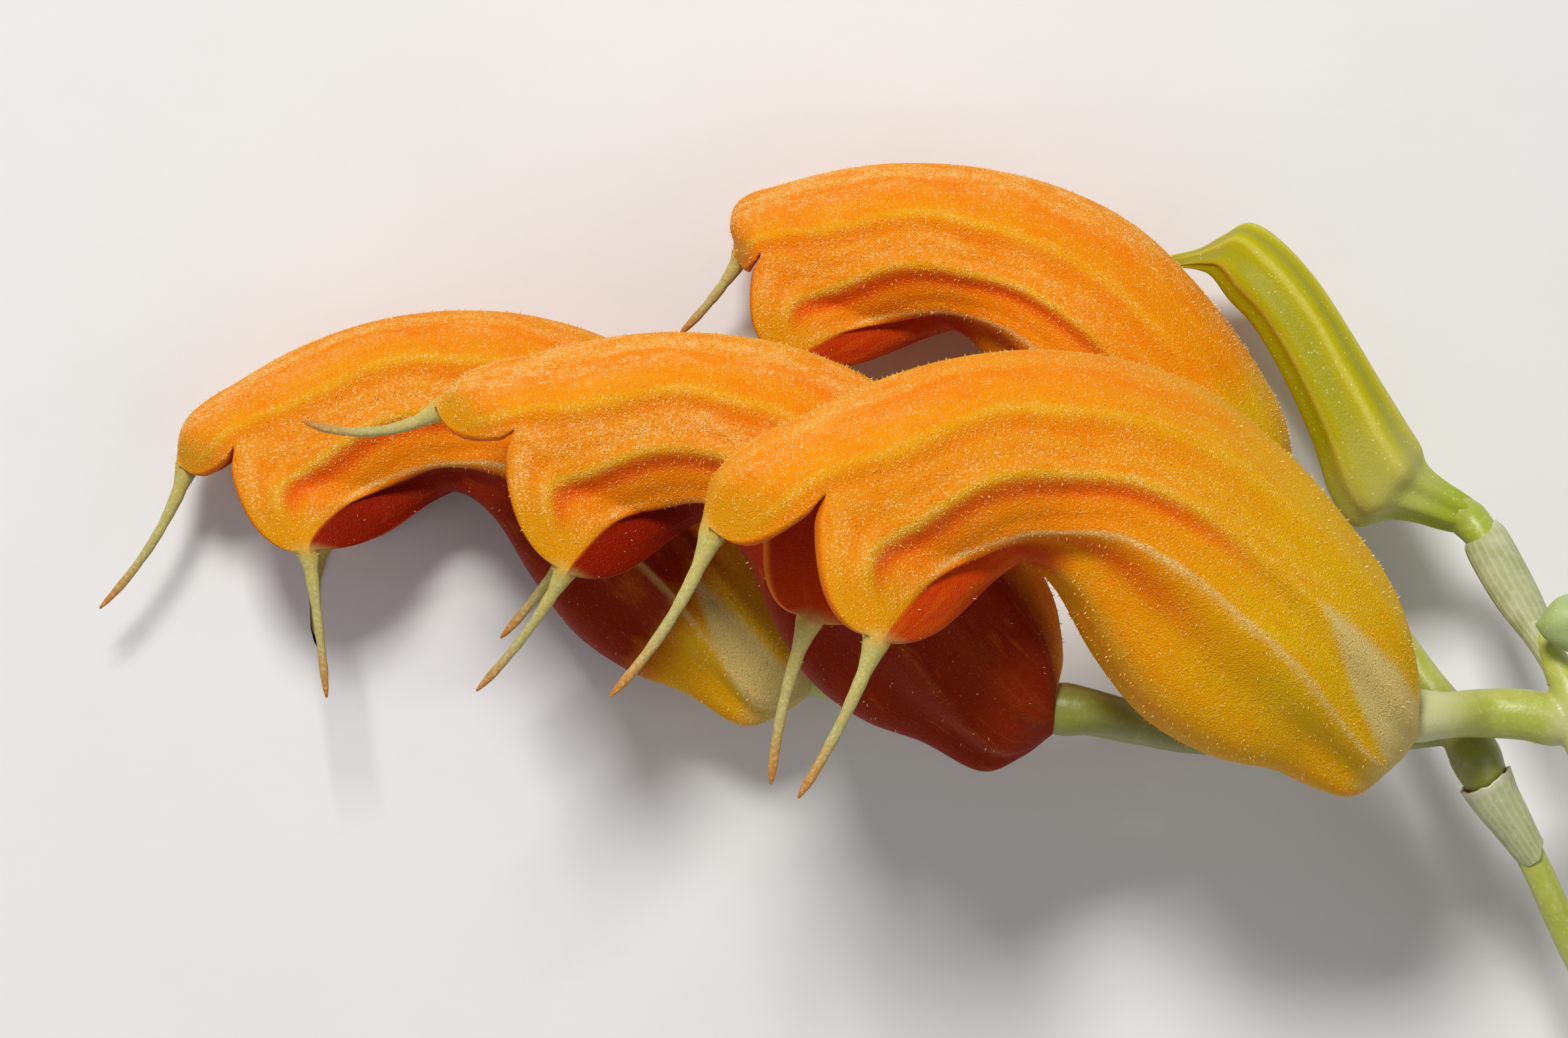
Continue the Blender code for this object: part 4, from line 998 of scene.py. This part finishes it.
stem_finish = stem_skin()
front, middle, left, upper = BLOOMS
mesh, points = grown_stem("stalk_lower_green", [STALK_LOWER_LINE, STALK_SECOND_LINE,
                                                pedicel_line(FRONT_PEDICEL_LINE, front)])
mark_mesh(mesh, {"pale": near_spots(points, [(*front.joint, LOWER_JOINT_REACH), PALE_FORK]),
                 "olive_painted_shade": near_spots(points, OLIVE_PAINTED_SHADE_LOWER), "bright": near_spots(points, [BRIGHT_NECK])})
show_piece("stalk_lower_green", mesh, stem_finish, "stalk_green", "stalk_lower")
mesh, points = grown_stem("stalk_upper_green", [pedicel_line(STALK_UPPER_LINE, upper),
                                                pedicel_line(MIDDLE_PEDICEL_LINE, middle),
                                                pedicel_line(LEFT_PEDICEL_LINE, left)])
mark_mesh(mesh, {"pale": near_spots(points, [(*bloom.joint, UPPER_JOINT_REACH) for bloom in (left, upper)]),
                 "olive_painted_shade": near_spots(points, OLIVE_PAINTED_SHADE_UPPER), "bright": np.zeros(len(points))})
show_piece("stalk_upper_green", mesh, stem_finish, "stalk_green", "stalk_upper")


# The papery sheaths. Dry thin bracts wrapped round the stalks, whitish, with fine stripes along their length.
# The lower one flares into a torn funnel, and the long one clasps the stalk under the bud.
SHEATH_WALL, SHEATH_SIDES, FUNNEL_STEPS, SHEATH_STEPS = 0.09, 72, 12, 10
# How deep the flattened sheath and buds are for their width.
FLAT_DEPTH = 0.9
FUNNEL_LINE = (
    (25.15, -11.35, 6.4, 0.56), (24.8, -10.87, 6.5, 0.6), (24.3, -10.1, 6.62, 0.72), (23.8, -9.35, 6.75, 0.84),
    (23.4, -8.62, 6.85, 0.96))
SHEATH_SECTIONS = (
    (26.2, -5.0, 25.3, -5.5, 8.95), (26.10, -4.86, 25.34, -5.30, 8.85), (25.74, -3.77, 24.73, -4.21, 8.1),
    (25.30, -2.56, 23.84, -3.01, 7.2), (24.80, -1.42, 23.16, -1.80, 6.3), (24.26, -0.36, 22.88, -1.09, 5.6),
    (23.93, 0.0, 22.93, -0.78, 5.2))


def flat_rings(sections, sides, steps, ribs=0, relief=0.0):
    """Rings of oval sections between two edge points each, in mm, with lengthwise ribs."""
    at = np.linspace(0, len(sections) - 1, steps * (len(sections) - 1) + 1)
    x1, y1, x2, y2, height = smooth_value(sections, at).T
    middle = np.stack([(x1 + x2) / 2, (y1 + y2) / 2, height], -1)
    arm = np.stack([(x1 - x2) / 2, (y1 - y2) / 2, np.zeros_like(x1)], -1)
    length = np.linalg.norm(arm, axis=1)
    turns = 2 * np.pi * np.arange(sides) / sides
    swell = 1 + relief * np.cos(ribs * turns)[None, :] * (np.minimum(length, 1.0) / length)[:, None]
    ring = np.cos(turns)[None, :, None] * arm[:, None] + np.stack(
        [np.zeros((len(at), sides)), np.zeros((len(at), sides)), (length * FLAT_DEPTH)[:, None] * np.sin(turns)], -1)
    return middle[:, None] + swell[..., None] * ring, turns


def thin_shell(name, rings, wall):
    """Open tube of rings in mm, given a wall inwards, in metres, with its own marks along and around."""
    rows, sides = rings.shape[:2]
    mesh = bpy.data.meshes.new(name)
    points = inside_box(to_frame(rings.reshape(-1, 3)))
    mesh.from_pydata(points.tolist(), [], ring_faces(rows, sides, ends=False))
    along, around = np.meshgrid(np.linspace(0, 1, rows), np.arange(sides) / sides, indexing="ij")
    mark_mesh(mesh, {"along": along.ravel(), "around": np.abs(around.ravel() - 0.5)})
    turn_faces_out(mesh)
    walled = shaped_by(mesh, ("SOLIDIFY", {"thickness": wall * MM, "offset": -1.0}))
    walled.shade_smooth()
    return walled


PAPER_GREENS, PAPER_STRIPE = ((0.31, 0.34, 0.13), (0.46, 0.47, 0.25)), (0.62, 0.62, 0.44)
PAPER_FLECK, PAPER_RIM, STRIPE_TURNS = (0.60, 0.60, 0.42), (0.66, 0.63, 0.46), 118.0


def papery_skin():
    """Dry whitish bract with green showing through, fine stripes along it and a pale rim."""
    material, tree, shader, where = new_finish("papery_sheath")
    along, around = read_marks(tree, "along", "around")
    wander = times(tree, mottle(tree, where, 1.2), 0.035)
    lines = add_node(tree, "ShaderNodeMath", {"operation": "SINE"},
                     _0=times(tree, times(tree, around, wander, "ADD"), STRIPE_TURNS)).outputs[0]
    stripes = stretch_range(tree, lines, -0.2, 1.0)
    grain = mottle(tree, where, 0.35, 4.0, 0.7)
    colour = blend_colour(tree, stretch_range(tree, mottle(tree, where, 1.3), 0.3, 0.7), *PAPER_GREENS)
    colour = blend_colour(tree, times(tree, stripes, 0.28), colour, PAPER_STRIPE)
    colour = lay_over(tree, colour, PAPER_FLECK, grain, 0.5, 0.75, 0.0, 0.6)
    colour = lay_over(tree, colour, PAPER_RIM, along, 0.9, 1.0, 0.0, 0.7)
    tree.links.new(colour, shader.inputs["Base Color"])
    shader.inputs["Roughness"].default_value = 0.5
    tree.links.new(relief_bump(tree, stripes, 0.012, 0.6, relief_bump(tree, grain, 0.04, 0.6)),
                   shader.inputs["Normal"])
    shader.inputs["Subsurface Weight"].default_value = 0.15
    shader.inputs["Subsurface Scale"].default_value = 0.3 * MM
    return material


def torn_ends(rings, turns, foot, rim):
    """Rings slid along each line of a sheath, so that its ends follow a foot and a torn rim, as shares of it."""
    rows = len(rings)
    for k, turn in enumerate(turns):
        at = np.clip(np.linspace(foot(turn), rim(turn), rows) * (rows - 1), 0, rows - 1)
        for axis in range(3):
            rings[:, k, axis] = np.interp(at, np.arange(rows), rings[:, k, axis])
    return rings


def funnel_tear(turn):
    """How far the funnel's rim stands out or is torn back."""
    return 0.05 * math.sin(2 * turn + 0.8) + 0.02 * math.sin(7 * turn) + 0.015 * math.sin(13 * turn + 2)


paper_finish = papery_skin()
turns = 2 * np.pi * np.arange(SHEATH_SIDES) / SHEATH_SIDES
rings = round_rings(smooth_line(FUNNEL_LINE, FUNNEL_STEPS), SHEATH_SIDES)
rings = torn_ends(rings, turns, lambda turn: 0.06 + 0.10 * math.sin(2 * turn + 1.0),
                  lambda turn: 0.96 + 0.3 * funnel_tear(turn))
mesh = thin_shell("sheath_funnel_paper", rings, SHEATH_WALL)
show_piece("sheath_funnel_paper", mesh, paper_finish, "sheath_paper", "sheath_funnel")
rings, turns = flat_rings(SHEATH_SECTIONS, SHEATH_SIDES, SHEATH_STEPS)
rings = torn_ends(rings, turns, lambda turn: 0.04 + 0.04 * math.sin(turn + 2.0),
                  lambda turn: 0.98 + 0.02 * math.sin(2 * turn + 0.5))
mesh = thin_shell("sheath_long_paper", rings, SHEATH_WALL)
show_piece("sheath_long_paper", mesh, paper_finish, "sheath_paper", "sheath_long")


# The closed bud and the young bud. Fleshy, yellow-green and not open yet: the sepals lie edge to edge, with pale
# ribs along them. The bud ends in a short beak, and its green ovary bends down to the sheath.
BUD_SECTIONS = (
    (23.52, 0.36, 22.53, -0.42, 5), (22.89, 0.79, 22, -0.29, 5.2), (22.13, 1.27, 21.25, -0.07, 5.4),
    (21.55, 1.78, 20.37, 0.04, 5.5), (21.32, 2.4, 19.21, -0.18, 5.6), (20.82, 3.2, 18.42, 0.8, 5.6),
    (19.93, 4.65, 17.82, 2.65, 5.5), (18.94, 6.32, 16.83, 4.87, 5.3), (17.86, 8, 15.85, 6.55, 5),
    (16.66, 9.35, 15.05, 7.45, 4.6), (15.66, 9.93, 14.48, 8.25, 4.2), (14.81, 9.55, 14.08, 8.45, 3.7),
    (14.08, 9.16, 13.63, 8.53, 3), (13.25, 8.97, 13.2, 8.52, 2.1), (12.8, 8.89, 12.84, 8.53, 1.5))
YOUNG_BUD_SECTIONS = (
    (24.84, -3.48, 24.88, -3.57, 9.9), (25.53, -2.65, 25.20, -3.96, 10.0), (26.30, -2.54, 25.97, -4.40, 10.0),
    (27.17, -3.09, 26.45, -4.73, 10.0), (27.77, -3.96, 26.90, -4.84, 9.9), (27.92, -4.95, 27.27, -5.06, 9.7),
    (27.62, -6.05, 27.25, -5.80, 9.5))
BUD_SIDES, BUD_STEPS, BUD_RIBS, BUD_RIB_RELIEF = 120, 12, 6, 0.09
YOUNG_BUD_SIDES, YOUNG_BUD_STEPS, YOUNG_BUD_RIBS, YOUNG_BUD_RELIEF = 60, 10, 4, 0.04
# Each bud's greens: deep and light bands, vein, and the two greens of its foot.
BUD_GREENS = ((0.33, 0.30, 0.002), (0.44, 0.385, 0.004), (0.55, 0.50, 0.05), (0.34, 0.41, 0.03), (0.50, 0.50, 0.16))
YOUNG_BUD_GREENS = ((0.28, 0.36, 0.10), (0.42, 0.50, 0.20), (0.58, 0.64, 0.36), (0.36, 0.46, 0.16),
                    (0.44, 0.52, 0.24))
BUD_GLINT = (0.9, 0.92, 0.62)


def bud_mesh(name, rings):
    """Closed fleshy bud from rings in mm, with marks along and around it."""
    rows, sides = rings.shape[:2]
    points = inside_box(to_frame(rings.reshape(-1, 3)))
    ends = [points[:sides].mean(0), points[-sides:].mean(0)]
    index = np.arange(rows * sides).reshape(rows, sides)
    faces = np.array(ring_faces(rows, sides, ends=False))
    caps = [np.stack([ring, np.roll(ring, -1), np.full(sides, rows * sides + k), np.full(sides, -1)], -1)
            for k, ring in enumerate((index[0], index[-1]))]
    mesh = closed_mesh(name, np.concatenate([points, ends]), np.concatenate([faces] + caps))
    along, around = np.meshgrid(np.linspace(0, 1, rows), np.arange(sides) / sides, indexing="ij")
    mark_mesh(mesh, {"along": np.append(along.ravel(), (0.0, 1.0)),
                     "around": np.append(np.abs(around.ravel() - 0.5), (0.25, 0.25))})
    return mesh


def bud_skin(name, deep, light, vein, foot, above_foot):
    """Bud's skin: two greens in long bands, pale veins, a paler or greener foot, and painted glints."""
    material, tree, shader, where = new_finish(name)
    along, around = read_marks(tree, "along", "around")
    grain, fine = mottle(tree, where, 0.35, 4.0, 0.65), mottle(tree, where, 0.12, 3.0, 0.7)
    wander = times(tree, mottle(tree, where, 2.5), 0.05)
    bands = add_node(tree, "ShaderNodeMath", {"operation": "COSINE"},
                     _0=times(tree, times(tree, around, wander, "ADD"), 2 * math.pi * BUD_RIBS)).outputs[0]
    colour = blend_colour(tree, stretch_range(tree, bands, -0.8, 0.9), deep, light)
    colour = lay_over(tree, colour, vein, bands, 0.75, 1.0, 0.0, 0.8)
    colour = lay_over(tree, colour, light, grain, 0.4, 0.75, 0.0, 0.25)
    colour = lay_over(tree, colour, above_foot, along, 0.16, 0.42, 1.0, 0.0)
    colour = lay_over(tree, colour, foot, along, 0.10, 0.26, 1.0, 0.0)
    cells = add_node(tree, "ShaderNodeTexVoronoi", Vector=where, Scale=1.0 / (0.1 * MM), Randomness=1.0)
    lucky = add_node(tree, "ShaderNodeSeparateColor", _0=cells.outputs["Color"]).outputs[0]
    glint = times(tree, stretch_range(tree, lucky, 0.88, 0.93),
                  stretch_range(tree, cells.outputs["Distance"], 0.0, 0.4, 1.0, 0.0))
    # The glints are painted highlights, pale dots in the colour.
    colour = blend_colour(tree, times(tree, glint, 0.7), colour, BUD_GLINT)
    tree.links.new(colour, shader.inputs["Base Color"])
    shader.inputs["Roughness"].default_value = 0.42
    shader.inputs["Specular IOR Level"].default_value = 0.12
    normal = relief_bump(tree, times(tree, cells.outputs["Distance"], -1.0), 0.02, 0.5,
                         relief_bump(tree, fine, 0.006, 0.5))
    tree.links.new(normal, shader.inputs["Normal"])
    soft_flesh(shader, 0.2, (0.6, 1.0, 0.15), 0.5)
    return material


bud_finish = bud_skin("bud_skin", *BUD_GREENS)
rings, _ = flat_rings(BUD_SECTIONS, BUD_SIDES, BUD_STEPS, BUD_RIBS, BUD_RIB_RELIEF)
show_piece("bud_closed", bud_mesh("bud_closed", rings), bud_finish, "bud_yellow_green", "bud")
young_finish = bud_skin("young_bud_skin", *YOUNG_BUD_GREENS)
rings, _ = flat_rings(YOUNG_BUD_SECTIONS, YOUNG_BUD_SIDES, YOUNG_BUD_STEPS, YOUNG_BUD_RIBS, YOUNG_BUD_RELIEF)
show_piece("young_bud_closed", bud_mesh("young_bud_closed", rings), young_finish, "bud_yellow_green", "young_bud")
